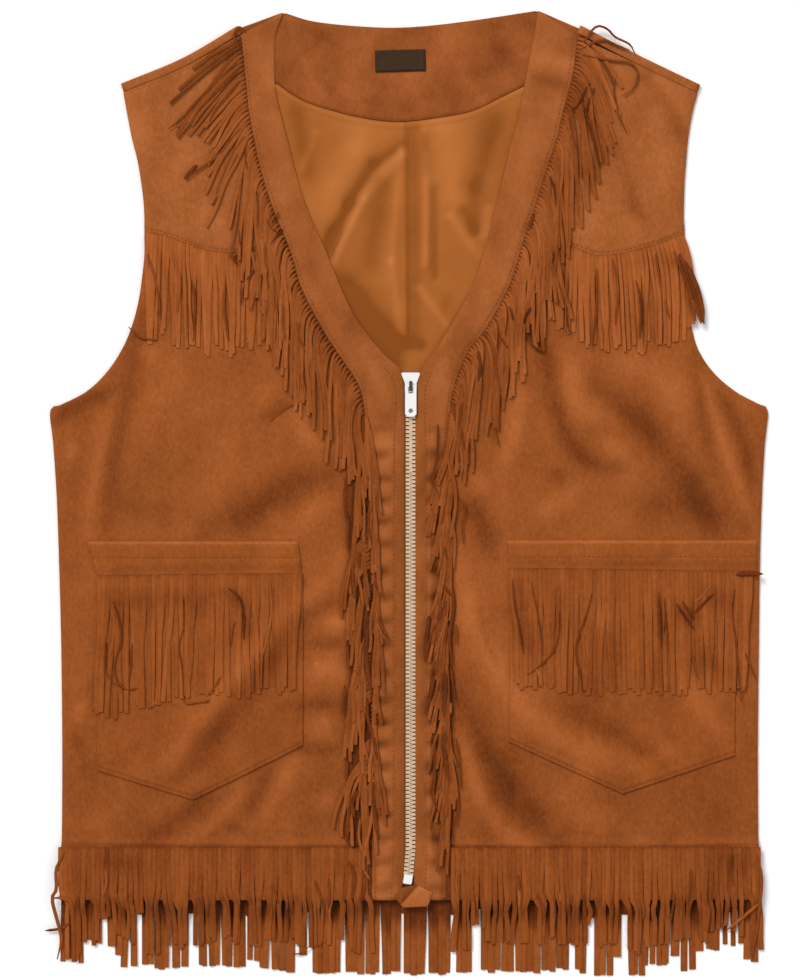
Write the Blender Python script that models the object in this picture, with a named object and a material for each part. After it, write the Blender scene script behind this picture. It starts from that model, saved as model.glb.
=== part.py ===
# A fringed western vest in faux suede, zipped up and laid flat with its back on the surface.
# X runs across the vest, +Y up to the neck and +Z away from the surface. The origin is at the
# middle of the outline, on the surface. Sizes are in millimetres and become metres in the meshes.

import math
import random

import bmesh
import bpy
import numpy as np

MM = 0.001

# Walls and gaps
SUEDE = 1.2
SATIN = 1.0
TRIM = 1.0
GAP = 0.3
LAYER = 0.45

# How the front rises from the back: a soft pillow between the side seams, and a step at the hem
PILLOW = 1.8
PILLOW_WIDTH = 72.0
STEP_TOP = -240.0
STEP_FOOT = -248.0
HEM_LIFT = 1.6
HEM = -284.0

# Zip
ZIP_X = 1.2
ZIP_END_DRIFT = -1.6
CHAIN_WIDTH = 6.3
CHAIN_THICK = 2.0
CHAIN_TOP = 78.0
CHAIN_BOTTOM = -268.0
TAPE_WIDTH = 9.0
ZIP_RISE = 2.5
SLIDER_TOP = 84.0
SLIDER_BOTTOM = 70.0
PIVOT_Y = 74.5

# Each section of the left front, from the shoulder down: the armhole or side seam, the band's
# outer seam and the band's inner edge
LEFT_SECTIONS = [
    # side_x, side_y, seam_x, seam_y, inner_x, inner_y
    (-199.5, 280.0, -117.6, 319.9, -88.2, 335.3),
    (-196.7, 264.6, -115.8, 304.5, -93.5, 319.9),
    (-193.6, 248.5, -114.1, 285.6, -94.3, 300.3),
    (-189.7, 233.1, -112.0, 266.0, -93.5, 280.7),
    (-187.3, 219.1, -108.2, 246.4, -88.9, 261.1),
    (-185.5, 205.1, -104.0, 226.8, -83.3, 240.1),
    (-184.8, 193.2, -95.2, 198.8, -76.3, 212.8),
    (-184.8, 182.7, -86.1, 177.1, -68.6, 191.8),
    (-184.8, 166.6, -80.5, 161.0, -62.3, 178.5),
    (-186.2, 152.6, -75.9, 144.9, -55.3, 162.0),
    (-188.7, 135.1, -68.2, 128.8, -48.0, 144.0),
    (-193.2, 117.6, -59.0, 112.0, -38.9, 124.6),
    (-200.2, 100.8, -49.0, 96.6, -27.3, 107.8),
    (-211.4, 84.0, -38.9, 81.9, -16.0, 95.0),
    (-225.4, 70.7, -33.3, 69.3, -6.3, 86.0),
    (-242.9, 61.6, -30.5, 51.1, -3.5, 74.0),
    (-250.6, 57.4, -28.0, 33.6, -3.5, 44.1),
    (-248.5, 33.6, -25.9, 12.6, -3.5, 18.0),
    (-246.0, -4.9, -25.9, -18.9, -3.5, -16.0),
    (-244.3, -53.9, -25.9, -60.0, -3.5, -58.0),
    (-242.9, -109.9, -25.9, -112.0, -3.5, -111.0),
    (-242.2, -179.9, -25.9, -180.0, -3.5, -180.0),
    (-242.5, STEP_TOP, -25.9, STEP_TOP, -3.5, STEP_TOP),
    (-243.0, STEP_FOOT, -25.9, STEP_FOOT, -3.5, STEP_FOOT),
    (-244.0, HEM, -25.9, HEM, -5.2, HEM),
]

RIGHT_SECTIONS = [
    # side_x, side_y, seam_x, seam_y, inner_x, inner_y
    (201.6, 279.3, 117.6, 318.5, 90.3, 336.7),
    (198.1, 266.7, 116.2, 304.5, 87.5, 318.5),
    (195.0, 248.5, 113.4, 287.0, 84.0, 300.3),
    (193.6, 233.1, 108.5, 269.5, 80.2, 280.7),
    (192.5, 219.1, 103.6, 248.5, 76.3, 261.1),
    (192.0, 205.1, 97.3, 229.6, 70.7, 240.1),
    (191.8, 193.2, 88.9, 203.0, 64.4, 213.5),
    (192.5, 182.0, 81.9, 182.7, 60.2, 196.7),
    (192.9, 166.6, 77.0, 165.9, 56.0, 179.9),
    (193.9, 152.6, 71.0, 147.0, 51.1, 163.1),
    (195.7, 135.1, 62.2, 129.0, 44.6, 144.5),
    (197.1, 117.6, 52.0, 112.5, 34.5, 125.5),
    (202.0, 100.1, 41.3, 98.7, 23.8, 107.1),
    (212.8, 84.0, 34.3, 82.6, 14.9, 94.6),
    (228.2, 70.7, 30.1, 68.6, 8.8, 86.0),
    (243.6, 62.3, 28.0, 51.1, 5.9, 74.0),
    (250.6, 57.4, 26.3, 33.6, 4.8, 43.0),
    (248.5, 33.6, 25.9, 12.6, 4.8, 18.0),
    (246.4, -4.9, 25.9, -18.9, 4.8, -16.0),
    (245.0, -53.9, 25.9, -60.0, 4.8, -58.0),
    (244.3, -109.9, 25.9, -112.0, 4.8, -111.0),
    (243.6, -179.9, 25.9, -180.0, 4.8, -180.0),
    (243.9, STEP_TOP, 25.9, STEP_TOP, 4.8, STEP_TOP),
    (244.2, STEP_FOOT, 25.9, STEP_FOOT, 4.8, STEP_FOOT),
    (245.0, HEM, 25.9, HEM, 3.4, HEM),
]

SECTIONS = {"left": np.array(LEFT_SECTIONS), "right": np.array(RIGHT_SECTIONS)}
SIGN = {"left": -1.0, "right": 1.0}
YOKE_ROW = 7

# How far the yoke's pointed seam dips below a straight line from the armhole to the band
YOKE_DIP = [
    # share of the way, left, right
    (0.00, 0.0, 0.0),
    (0.14, -1.8, -7.0),
    (0.28, -6.0, -12.0),
    (0.42, -10.3, -15.5),
    (0.56, -11.4, -16.3),
    (0.70, -11.0, -11.0),
    (0.85, -7.0, -5.0),
    (1.00, 0.0, 0.0),
]

# Shoulder fold, where the back wraps over to the front, from the armhole to the band
SHOULDER = {
    "left": [(-201.6, 286.3), (-157.5, 304.6), (-120.0, 326.6)],
    "right": [(203.7, 285.6), (161.0, 306.0), (120.0, 327.0)],
}

# Top edge of the back between the two neck points
BACK_NECK = [
    (-88.2, 336.0),
    (-66.0, 329.5),
    (-30.0, 325.9),
    (0.0, 325.6),
    (38.0, 329.4),
    (90.3, 337.2),
]

# The suede facing inside the back neck, its lower edge
FACING_FOOT = [
    (-100.0, 286.5),
    (-93.8, 287.0),
    (-81.2, 278.6),
    (-66.5, 271.6),
    (-36.4, 263.2),
    (-6.3, 259.7),
    (28.7, 263.9),
    (46.2, 268.1),
    (63.7, 276.5),
    (81.2, 284.9),
    (91.0, 287.5),
]
FACING_TOP = [
    (-97.5, 327.5),
    (-88.2, 334.0),
    (-66.0, 328.6),
    (-30.0, 325.0),
    (0.0, 324.7),
    (38.0, 328.5),
    (90.3, 335.4),
    (97.5, 330.0),
]

# The satin lining of the back, seen through the neck, and how far it runs under the bands
LINING_SIDES = [
    # left_x, left_y, right_x, right_y
    (-100.0, 286.2, 91.0, 287.2),
    (-96.0, 258.0, 86.0, 258.0),
    (-86.0, 215.0, 74.0, 215.0),
    (-68.0, 168.0, 60.0, 168.0),
    (-47.0, 125.0, 45.0, 128.0),
    (-30.0, 64.0, 30.0, 64.0),
]

# Soft folds in the fronts and the yokes, each a low ridge or a hollow along a line
FRONT_FOLDS = [
    # x1, y1, x2, y2, half_width, height
    (-192.0, 118.0, -218.0, -25.0, 30.0, 1.7),
    (207.0, 80.0, 236.0, -27.0, 30.0, 1.5),
    (120.0, 105.0, 165.0, 30.0, 34.0, -0.9),
    (-110.0, 60.0, -140.0, 10.0, 36.0, -0.8),
    (-85.0, -100.0, -150.0, -205.0, 34.0, 1.2),
    (40.0, -160.0, 72.0, -232.0, 30.0, 1.0),
    (142.0, 240.0, 165.0, 190.0, 32.0, 0.9),
    (-150.0, 255.0, -165.0, 200.0, 32.0, 0.8),
]
LINING_FOLDS = [
    # x1, y1, x2, y2, half_width, height
    (-12.0, 226.0, -54.0, 168.0, 16.0, 2.4),
    (8.0, 250.0, 9.0, 120.0, 13.0, 1.2),
    (45.0, 215.0, 30.0, 150.0, 14.0, 1.0),
]

# Crosswise puckers of the bands
PUCKER_PITCH = 20.0
PUCKER_HEIGHT = 0.5

# Fringes: stations along each backing strip with how the strands hang there. The lean is in
# degrees from straight down, outwards from the zip
BAND_FRINGE_LEFT = [
    # root_y, lean_at_root, lean_at_tip, length
    (322.0, 118.0, 62.0, 22.0),
    (305.0, 78.0, 50.0, 46.0),
    (285.0, 56.0, 44.0, 66.0),
    (262.0, 50.0, 34.0, 64.0),
    (240.0, 38.0, 22.0, 62.0),
    (200.0, 30.0, 16.0, 60.0),
    (140.0, 26.0, 14.0, 58.0),
    (80.0, 26.0, 16.0, 56.0),
    (20.0, 28.0, 20.0, 54.0),
    (-196.0, 28.0, 20.0, 50.0),
]
BAND_FRINGE_RIGHT = [
    # root_y, lean_at_root, lean_at_tip, length
    (321.0, 122.0, 20.0, 56.0),
    (305.0, 92.0, 16.0, 60.0),
    (285.0, 62.0, 14.0, 64.0),
    (262.0, 50.0, 14.0, 64.0),
    (240.0, 40.0, 14.0, 62.0),
    (200.0, 32.0, 14.0, 60.0),
    (140.0, 26.0, 12.0, 58.0),
    (90.0, 20.0, 10.0, 54.0),
    (56.0, 18.0, 8.0, 50.0),
]
# Below the V the right fringe has flopped over onto its band
BAND_FRINGE_RIGHT_LOW = [
    # root_y, lean_at_root, lean_at_tip, length
    (46.0, -21.0, -17.0, 46.0),
    (-200.0, -21.0, -17.0, 44.0),
]
BAND_FRINGES = [
    # name, side, stations, strands, which way from the seam, seed
    ("band_fringe_left", "left", BAND_FRINGE_LEFT, 37, 1.0, 11),
    ("band_fringe_right", "right", BAND_FRINGE_RIGHT, 20, 1.0, 12),
    ("band_fringe_right_low", "right", BAND_FRINGE_RIGHT_LOW, 17, -1.0, 13),
]
YOKE_FRINGE = {
    "left": [
        # share_along_seam, lean_at_root, lean_at_tip, length
        (0.03, 8.0, -2.0, 74.0),
        (0.30, 1.0, 1.0, 70.0),
        (0.60, 0.0, 0.0, 66.0),
        (0.88, -3.0, 0.0, 62.0),
    ],
    "right": [
        (0.02, 26.0, -4.0, 66.0),
        (0.25, 10.0, 2.0, 64.0),
        (0.60, 0.0, 0.0, 60.0),
        (0.88, 0.0, 0.0, 58.0),
    ],
}
YOKE_STRANDS = 17
POCKET_FRINGE = {
    "left": [
        # x, length
        (-214.0, 96.0),
        (-188.0, 90.0),
        (-136.0, 86.0),
        (-76.0, 80.0),
    ],
    "right": [
        (72.0, 84.0),
        (130.0, 88.0),
        (190.0, 84.0),
        (238.0, 80.0),
    ],
}
POCKET_STRANDS = 22
HEM_FRINGE_TOP = -249.6
HEM_FRINGES = [
    # name, start_x, end_x, strands, length, seed
    ("hem_fringe_left", -243.0, -28.0, 25, 81.5, 41),
    ("hem_fringe_right", 28.0, 244.0, 25, 81.5, 42),
    ("hem_fringe_back", -242.0, 243.0, 44, 78.0, 43),
]
STRIP_HEIGHT = 4.0
STRAND_WIDTH = 3.6
POCKET_STRAND_WIDTH = 3.8
STRAND_TIP = 0.8
# How much of its stretch of strip each strand's root takes
ROOT_SHARE = 0.62
YOKE_ROOT_SHARE = 0.7
# From the top of a band's strip to its lower edge, outwards and up
BAND_STRIP = (3.2, -1.2)
YOKE_FRINGE_CLEARANCE = TRIM + LAYER
EVEN_STEPS = (1 / 3, 1 / 3, 1 / 3)
SHORT_FIRST_STEP = (0.14, 0.43, 0.43)
PAST_HEM_STEPS = (0.42, 0.24, 0.34)

# Pockets: their corners below the band, the point at the foot, and the band across the top
POCKETS = {
    "left": {
        "band": [(-224.0, -33.6), (-77.7, -33.6), (-74.9, -56.0), (-217.7, -57.6)],
        "pocket": [(-217.7, -57.9), (-74.2, -56.3), (-74.2, -176.4), (-150.5, -214.2), (-217.7, -193.9)],
    },
    "right": {
        "band": [(69.3, -32.9), (242.6, -32.9), (242.6, -54.6), (70.0, -52.5)],
        "pocket": [(70.7, -52.8), (228.0, -54.6), (227.5, -183.4), (149.1, -210.0), (70.7, -174.3)],
    },
}
LABEL_SIZE = (35.0, 15.0)
LABEL_PLACE = (-6.0, 302.0)
LABEL_TILT = math.radians(1.5)

# Colours, roughness and metallic value
FINISHES = {
    "suede": ((0.33, 0.115, 0.035), 0.9, 0.0),
    "suede_fringe": ((0.26, 0.075, 0.022), 0.9, 0.0),
    "satin": ((0.50, 0.21, 0.065), 0.45, 0.0),
    "tape": ((0.23, 0.075, 0.03), 0.85, 0.0),
    "label": ((0.045, 0.025, 0.012), 0.7, 0.0),
    "zip_metal": ((0.82, 0.80, 0.74), 0.28, 1.0),
}


def clear_scene():
    for obj in list(bpy.data.objects):
        bpy.data.objects.remove(obj)


def make_material(name):
    colour, roughness, metallic = FINISHES[name]
    material = bpy.data.materials.new(name)
    material.use_nodes = True
    shader = material.node_tree.nodes["Principled BSDF"]
    shader.inputs["Base Color"].default_value = (*colour, 1.0)
    shader.inputs["Roughness"].default_value = roughness
    shader.inputs["Metallic"].default_value = metallic
    material.diffuse_color = (*colour, 1.0)
    return material


def finish_object(name, bm, finish, smooth=True):
    bmesh.ops.recalc_face_normals(bm, faces=bm.faces)
    mesh = bpy.data.meshes.new(name)
    bm.to_mesh(mesh)
    bm.free()
    mesh.materials.append(make_material(finish))
    if smooth:
        mesh.shade_smooth()
        mesh.set_sharp_from_angle(angle=math.radians(40))
    obj = bpy.data.objects.new(name, mesh)
    bpy.context.collection.objects.link(obj)
    return obj


def smoothstep(value):
    share = min(max(value, 0.0), 1.0)
    return share * share * (3.0 - 2.0 * share)


def resample(points, count):
    """Evenly spaced points on a smooth curve through the given ones."""
    points = np.array(points, dtype=float)
    padded = np.vstack([2 * points[0] - points[1], points, 2 * points[-1] - points[-2]])
    dense = []
    for i in range(len(points) - 1):
        a, b, c, d = padded[i : i + 4]
        for t in np.linspace(0.0, 1.0, 12, endpoint=False):
            bend = (2 * a - 5 * b + 4 * c - d) * t**2
            turn = (3 * b - a - 3 * c + d) * t**3
            dense.append((2 * b + (c - a) * t + bend + turn) / 2)
    dense.append(points[-1])
    dense = np.array(dense)
    steps = np.hypot(*np.diff(dense, axis=0).T)
    distance = np.concatenate([[0.0], np.cumsum(steps)])
    wanted = np.linspace(0.0, distance[-1], count)
    return np.column_stack([np.interp(wanted, distance, dense[:, k]) for k in range(2)])


def coons(top, bottom, first, last):
    """A net of points between four edges. First and last are the two sides, from top to bottom."""
    rows, columns = len(first), len(top)
    net = np.zeros((rows, columns, 2))
    for j in range(rows):
        v = j / (rows - 1)
        for i in range(columns):
            u = i / (columns - 1)
            across = (1 - u) * first[j] + u * last[j]
            down = (1 - v) * top[i] + v * bottom[i]
            first_corners = (1 - v) * top[0] + v * bottom[0]
            last_corners = (1 - v) * top[-1] + v * bottom[-1]
            net[j][i] = across + down - (1 - u) * first_corners - u * last_corners
    return net


def straight(start, end, count):
    start, end = np.array(start), np.array(end)
    return np.array([start + (end - start) * share for share in np.linspace(0, 1, count)])


# Heights above the surface


def hem_step(y):
    return HEM_LIFT * min(max((STEP_TOP - y) / (STEP_TOP - STEP_FOOT), 0.0), 1.0)


def fold_height(x, y, folds):
    total = 0.0
    for x1, y1, x2, y2, half_width, height in folds:
        along = ((x - x1) * (x2 - x1) + (y - y1) * (y2 - y1)) / ((x2 - x1) ** 2 + (y2 - y1) ** 2)
        along = min(max(along, 0.0), 1.0)
        distance = math.hypot(x - x1 - along * (x2 - x1), y - y1 - along * (y2 - y1))
        total += height * math.exp(-((distance / half_width) ** 2))
    return total


def side_inset(x, y):
    rows = SECTIONS["left" if x < 0 else "right"]
    side = np.interp(-y, -rows[:, 1], abs(rows[:, 0]))
    return side - abs(x)


def front_floor(x, y):
    """Underside of the fronts and yokes."""
    rise = smoothstep(side_inset(x, y) / PILLOW_WIDTH)
    z = SUEDE + GAP + PILLOW * rise + hem_step(y)
    return z + rise * fold_height(x, y, FRONT_FOLDS)


def front_top(x, y):
    return front_floor(x, y) + SUEDE


def chain_middle(y):
    """Middle of the zip's chain, which the slider lifts."""
    lift = smoothstep((y - 15.0) / 50.0) * (1.0 - smoothstep((y - 95.0) / 60.0))
    return SUEDE + GAP + CHAIN_THICK / 2 + ZIP_RISE * lift + hem_step(y)


def zip_x(y):
    return ZIP_X + ZIP_END_DRIFT * smoothstep((-245.0 - y) / 23.0)


def band_floor(inner, seam, share):
    """Underside of a band, from its zip edge (share 0) to its seam with the front (share 1)."""
    at_zip = chain_middle(inner[1]) + TRIM / 2 + GAP
    at_seam = front_floor(seam[0], seam[1])
    y = inner[1] + (seam[1] - inner[1]) * share
    pucker = PUCKER_HEIGHT * math.sin(math.pi * share) * math.sin(2 * math.pi * y / PUCKER_PITCH)
    fade = smoothstep((60.0 - y) / 30.0) * smoothstep((y - STEP_TOP) / 20.0)
    return at_zip + (at_seam - at_zip) * share + (pucker + PUCKER_HEIGHT * share * (1 - share)) * fade


# Building walls


def two_skins(name, grid, finish, is_cell=None):
    """A closed wall between two skins. The grid holds rows of (under, over) points or None."""
    bm = bmesh.new()
    skins = []
    for row in grid:
        skins.append([])
        for pair in row:
            made = [bm.verts.new([c * MM for c in point]) for point in pair] if pair else None
            skins[-1].append(made)
    used = {}
    for j in range(len(grid) - 1):
        for i in range(len(grid[0]) - 1):
            corners = [skins[j][i], skins[j][i + 1], skins[j + 1][i + 1], skins[j + 1][i]]
            if any(c is None for c in corners) or (is_cell and not is_cell(j, i)):
                continue
            for skin in (0, 1):
                bm.faces.new([c[skin] for c in corners])
            places = [(j, i), (j, i + 1), (j + 1, i + 1), (j + 1, i)]
            for a, b in zip(places, places[1:] + places[:1]):
                edge = tuple(sorted((a, b)))
                used[edge] = used.get(edge, 0) + 1
    for ((ja, ia), (jb, ib)), count in used.items():
        if count == 1:
            a, b = skins[ja][ia], skins[jb][ib]
            bm.faces.new([a[0], b[0], b[1], a[1]])
    bmesh.ops.delete(bm, geom=[v for v in bm.verts if not v.link_faces], context="VERTS")
    return finish_object(name, bm, finish)


def wall(name, net, floor, thick, finish):
    """A cloth wall over a net of (x, y) points. The floor gives the height of its underside."""
    grid = []
    for row in net:
        grid.append([])
        for x, y in row:
            z = floor(x, y)
            grid[-1].append(((x, y, z), (x, y, z + thick)))
    return two_skins(name, grid, finish)


def yoke_seam(side, columns):
    """Points of the yoke seam from the armhole to the band."""
    row = SECTIONS[side][YOKE_ROW]
    dip = np.array(YOKE_DIP)
    column = 1 if side == "left" else 2
    line = straight(row[0:2], row[2:4], columns)
    for k, share in enumerate(np.linspace(0, 1, columns)):
        line[k][1] += np.interp(share, dip[:, 0], dip[:, column])
    return line


YOKE_COLUMNS = 10


def outward_normal(side):
    along = np.array(SHOULDER[side][2]) - np.array(SHOULDER[side][0])
    along /= np.hypot(*along)
    outward = np.array([-along[1], along[0]])
    return outward * np.sign(outward[1])


def build_yoke(side):
    rows = SECTIONS[side][: YOKE_ROW + 1]
    foot = yoke_seam(side, YOKE_COLUMNS + 1)
    bend = np.array(SHOULDER[side][1]) - outward_normal(side) * (WRAP_DEPTH + GAP)
    half = YOKE_COLUMNS // 2 + 1
    top = np.concatenate([straight(rows[0][0:2], bend, half), straight(bend, rows[0][2:4], half)[1:]])
    net = coons(top, foot, rows[:, 0:2], rows[:, 2:4])
    net[-1, :, 1] += GAP / 2
    net[:, -1, 0] += SIGN[side] * GAP / 2
    wall("front_yoke_" + side, net, front_floor, SUEDE, "suede")


def build_front(side):
    rows = SECTIONS[side][YOKE_ROW:-2]
    top = yoke_seam(side, YOKE_COLUMNS + 1)
    bottom = straight(rows[-1][0:2], rows[-1][2:4], YOKE_COLUMNS + 1)
    net = coons(top, bottom, rows[:, 0:2], rows[:, 2:4])
    hem = [straight(row[0:2], row[2:4], YOKE_COLUMNS + 1) for row in SECTIONS[side][-2:]]
    net = np.concatenate([net, np.array(hem)])
    net[0, :, 1] -= GAP / 2
    net[:, -1, 0] += SIGN[side] * GAP / 2
    wall("front_panel_" + side, net, front_floor, SUEDE, "suede")


def band_rows(side):
    """The band's sections, with extra ones where it is straight and puckered."""
    rows = []
    table = SECTIONS[side]
    for here, below in zip(table[:-1], table[1:]):
        gap = here[3] - below[3]
        pieces = max(1, round(gap / 10.0)) if STEP_TOP <= below[3] and here[3] < 13.0 else 1
        for k in range(pieces):
            rows.append(here + (below - here) * k / pieces)
    last = table[-1] + (table[-2] - table[-1]) * (CHAIN_BOTTOM - HEM) / (STEP_FOOT - HEM)
    return rows + [last, table[-1]]


BAND_SHARES = (0.0, 0.36, 0.7, 1.0)


def build_band(side):
    grid = []
    for row in band_rows(side):
        seam, inner = row[2:4], row[4:6]
        grid.append([])
        for share in BAND_SHARES:
            x, y = inner + (seam - inner) * share
            if share == 1.0:
                x -= SIGN[side] * GAP / 2
            z = band_floor(inner, seam, share)
            grid[-1].append(((x, y, z), (x, y, z + SUEDE)))
    two_skins("front_band_" + side, grid, "suede")


def build_tape(side):
    """The zip's tape, under the band and beside the chain."""
    grid = []
    for row in band_rows(side):
        seam, inner = row[2:4], row[4:6]
        if not CHAIN_BOTTOM - 0.1 < inner[1] < SLIDER_TOP + 3.0:
            continue
        width = abs(seam[0] - inner[0])
        grid.append([])
        for distance in (0.0, TAPE_WIDTH):
            share = distance / width
            y = inner[1] + (seam[1] - inner[1]) * share
            x = inner[0] + SIGN[side] * distance
            if distance == 0.0 and inner[1] < SLIDER_BOTTOM - 4.0:
                x = zip_x(y) + SIGN[side] * (CHAIN_WIDTH / 2 + GAP)
            z = band_floor(inner, seam, share) - GAP - 0.1 - TRIM
            grid[-1].append(((x, y, z), (x, y, z + TRIM)))
    two_skins("zip_tape_" + side, grid, "tape")


def back_rows():
    rows = [SHOULDER["left"][0] + SHOULDER["right"][0]]
    for left, right in zip(LEFT_SECTIONS, RIGHT_SECTIONS):
        rows.append((left[0], left[1], right[0], right[1]))
    return np.array(rows)


BACK_INSET = 0.4
# The upper rows of the back's net bend towards its top edge, over this many rows
TOP_ROWS = 14
TOP_SHARES = (0.0, 0.125, 0.25, 0.32, 0.392, 0.464, 0.536, 0.608, 0.68, 0.75, 0.875, 1.0)
WRAP_TURN = (-60.0, -20.0, 20.0, 60.0)
WRAP_DEPTH = 6.4


def shoulder_wrap(edge, outward):
    """Skins of the back where it turns over the shoulder, from its seam down to the flat back."""
    inward = -outward
    over = front_floor(*(edge + inward * WRAP_DEPTH))
    radius = over / 2
    middle_z = SUEDE / 2 + radius
    centre = edge + inward * (radius + SUEDE / 2)
    seam = edge + inward * WRAP_DEPTH
    pairs = [((*seam, over + SUEDE), (*seam, over)), ((*centre, over + SUEDE), (*centre, over))]
    for angle in WRAP_TURN[::-1]:
        turn = math.radians(angle)
        skins = []
        for reach in (radius + SUEDE / 2, radius - SUEDE / 2):
            x, y = centre + outward * reach * math.cos(turn)
            skins.append((x, y, middle_z + reach * math.sin(turn)))
        pairs.append(tuple(skins))
    return centre, pairs


def build_back():
    outline = back_rows()
    top = [SHOULDER["left"][0], SHOULDER["left"][1], SHOULDER["left"][2]]
    top += [tuple(p) for p in resample(BACK_NECK, 6)]
    top += [SHOULDER["right"][2], SHOULDER["right"][1], SHOULDER["right"][0]]
    top = np.array(top)
    wraps = {}
    for side, columns in (("left", (0, 1, 2)), ("right", (9, 10, 11))):
        for k in columns:
            top[k], wraps[k] = shoulder_wrap(top[k], outward_normal(side))
    first, last = outline[:, 0:2].copy(), outline[:, 2:4].copy()
    first[0], last[0] = top[0], top[-1]
    first[1:, 0] += BACK_INSET
    last[1:, 0] -= BACK_INSET
    bottom = straight(first[-1], last[-1], len(top))
    shares = np.array(TOP_SHARES)[:, None]
    net = np.zeros((len(first), len(top), 2))
    for j in range(len(first)):
        v = smoothstep(j / TOP_ROWS)
        level = first[j] + (last[j] - first[j]) * shares
        lowered = top + level - first[0] - (last[0] - first[0]) * shares
        net[j] = lowered * (1 - v) + level * v
    net[-1] = bottom
    grid = []
    for k in range(2 + len(WRAP_TURN)):
        grid.append([wraps[i][k] if i in wraps else None for i in range(len(top))])
    for row in net:
        grid.append([])
        for x, y in row:
            z = hem_step(y)
            grid[-1].append(((x, y, z), (x, y, z + SUEDE)))
    two_skins("back_panel", grid, "suede")


FACING_COLUMNS = 14


def build_facing():
    top = resample(FACING_TOP, FACING_COLUMNS + 1)
    foot = resample(FACING_FOOT, FACING_COLUMNS + 1)
    net = coons(top, foot, straight(top[0], foot[0], 4), straight(top[-1], foot[-1], 4))
    wall("neck_facing", net, lambda x, y: SUEDE + GAP, SUEDE, "suede")


def lining_floor(x, y):
    lift = fold_height(x, y, LINING_FOLDS)
    sides = np.array(LINING_SIDES)
    edge = abs(np.interp(-y, -sides[:, 1], sides[:, 0]))
    inside = smoothstep((edge - abs(x) - 8.0) / 26.0) * smoothstep((y - 105.0) / 30.0)
    return SUEDE + GAP + lift * inside


def build_lining():
    top = resample(FACING_FOOT, FACING_COLUMNS + 1) - np.array([0.0, GAP])
    sides = np.array(LINING_SIDES)
    left, right = resample(sides[:, 0:2], 13), resample(sides[:, 2:4], 13)
    left[0], right[0] = top[0], top[-1]
    net = coons(top, straight(left[-1], right[-1], FACING_COLUMNS + 1), left, right)
    wall("back_lining", net, lining_floor, SATIN, "satin")


def build_label():
    half_x, half_y = LABEL_SIZE[0] / 2, LABEL_SIZE[1] / 2
    net = np.zeros((3, 5, 2))
    for j, v in enumerate(np.linspace(half_y, -half_y, 3)):
        for i, u in enumerate(np.linspace(-half_x, half_x, 5)):
            x = LABEL_PLACE[0] + u * math.cos(LABEL_TILT) - v * math.sin(LABEL_TILT)
            y = LABEL_PLACE[1] + u * math.sin(LABEL_TILT) + v * math.cos(LABEL_TILT)
            net[j][i] = (x, y)
    wall("label_patch", net, lambda x, y: 2 * (SUEDE + GAP), TRIM, "label")


def on_front(x, y):
    return front_top(x, y) + LAYER


def build_pocket(side):
    shape = POCKETS[side]
    a, b, c, point, d = [np.array(p) for p in shape["pocket"]]
    foot = np.concatenate([straight(d, point, 4), straight(point, c, 4)[1:]])
    net = coons(straight(a, b, 7), foot, straight(a, d, 8), straight(b, c, 8))
    wall("pocket_" + side, net, on_front, SUEDE, "suede")
    a, b, c, d = [np.array(p) for p in shape["band"]]
    net = coons(straight(a, b, 9), straight(d, c, 9), straight(a, d, 3), straight(b, c, 3))
    wall("pocket_band_" + side, net, on_front, SUEDE, "suede")


# Fringes


def hang(root, sign, lean_at_root, lean_at_tip, length, steps):
    """Middle points of a strand that bends from one lean to another. Steps are shares of its length."""
    points = [np.array(root, dtype=float)]
    headings = []
    for k, step in enumerate(steps):
        lean = lean_at_root + (lean_at_tip - lean_at_root) * (sum(steps[:k]) + step / 2)
        heading = math.radians(lean)
        headings.append(np.array([sign * math.sin(heading), -math.cos(heading)]))
        points.append(points[-1] + headings[-1] * length * step)
    return points, headings


def build_fringe(name, strands, floor):
    """A comb: a narrow backing strip and the strands that are cut from it, in one wall.

    Each strand is a dict with the two corners of its stretch of strip and the middle points,
    headings and width of its hanging part."""
    segments = len(strands[0]["headings"])
    columns = []
    for strand in strands:
        edges = ([], [])
        for end in (0, 1):
            edges[end].append(strand["strip"][end])
            edges[end].append(strand["roots"][end])
        for k in range(segments):
            heading = strand["headings"][k]
            across = np.array([-heading[1], heading[0]])
            if np.dot(across, strand["roots"][1] - strand["roots"][0]) < 0:
                across = -across
            narrow = STRAND_TIP if k == segments - 1 else 1.0
            middle = strand["points"][k + 1]
            edges[0].append(middle - across * strand["width"] * narrow / 2)
            edges[1].append(middle + across * strand["width"] * narrow / 2)
        columns.extend(edges)
    grid = []
    for j in range(segments + 2):
        grid.append([])
        for column in columns:
            x, y = column[j]
            z = floor(x, y, j)
            grid[-1].append(((x, y, z), (x, y, z + TRIM)))
    two_skins(name, grid, "suede_fringe", is_cell=lambda j, i: j == 0 or i % 2 == 0)


def strand_on_line(line, start, end, down, fill, hang_values, sign, steps=EVEN_STEPS):
    """One strand whose strip covers a stretch of a line, from share start to share end."""
    shares = np.linspace(0, 1, len(line))
    corners = []
    for end_share in (start, end):
        corners.append(np.array([np.interp(end_share, shares, line[:, k]) for k in (0, 1)]))
    span = corners[1] - corners[0]
    roots = [corners[0] + down, corners[0] + span * fill + down]
    strip = [corners[0], corners[0] + span * fill]
    lean_at_root, lean_at_tip, length = hang_values
    points, headings = hang((roots[0] + roots[1]) / 2, sign, lean_at_root, lean_at_tip, length, steps)
    return {"strip": strip, "roots": roots, "points": points, "headings": headings}


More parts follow.
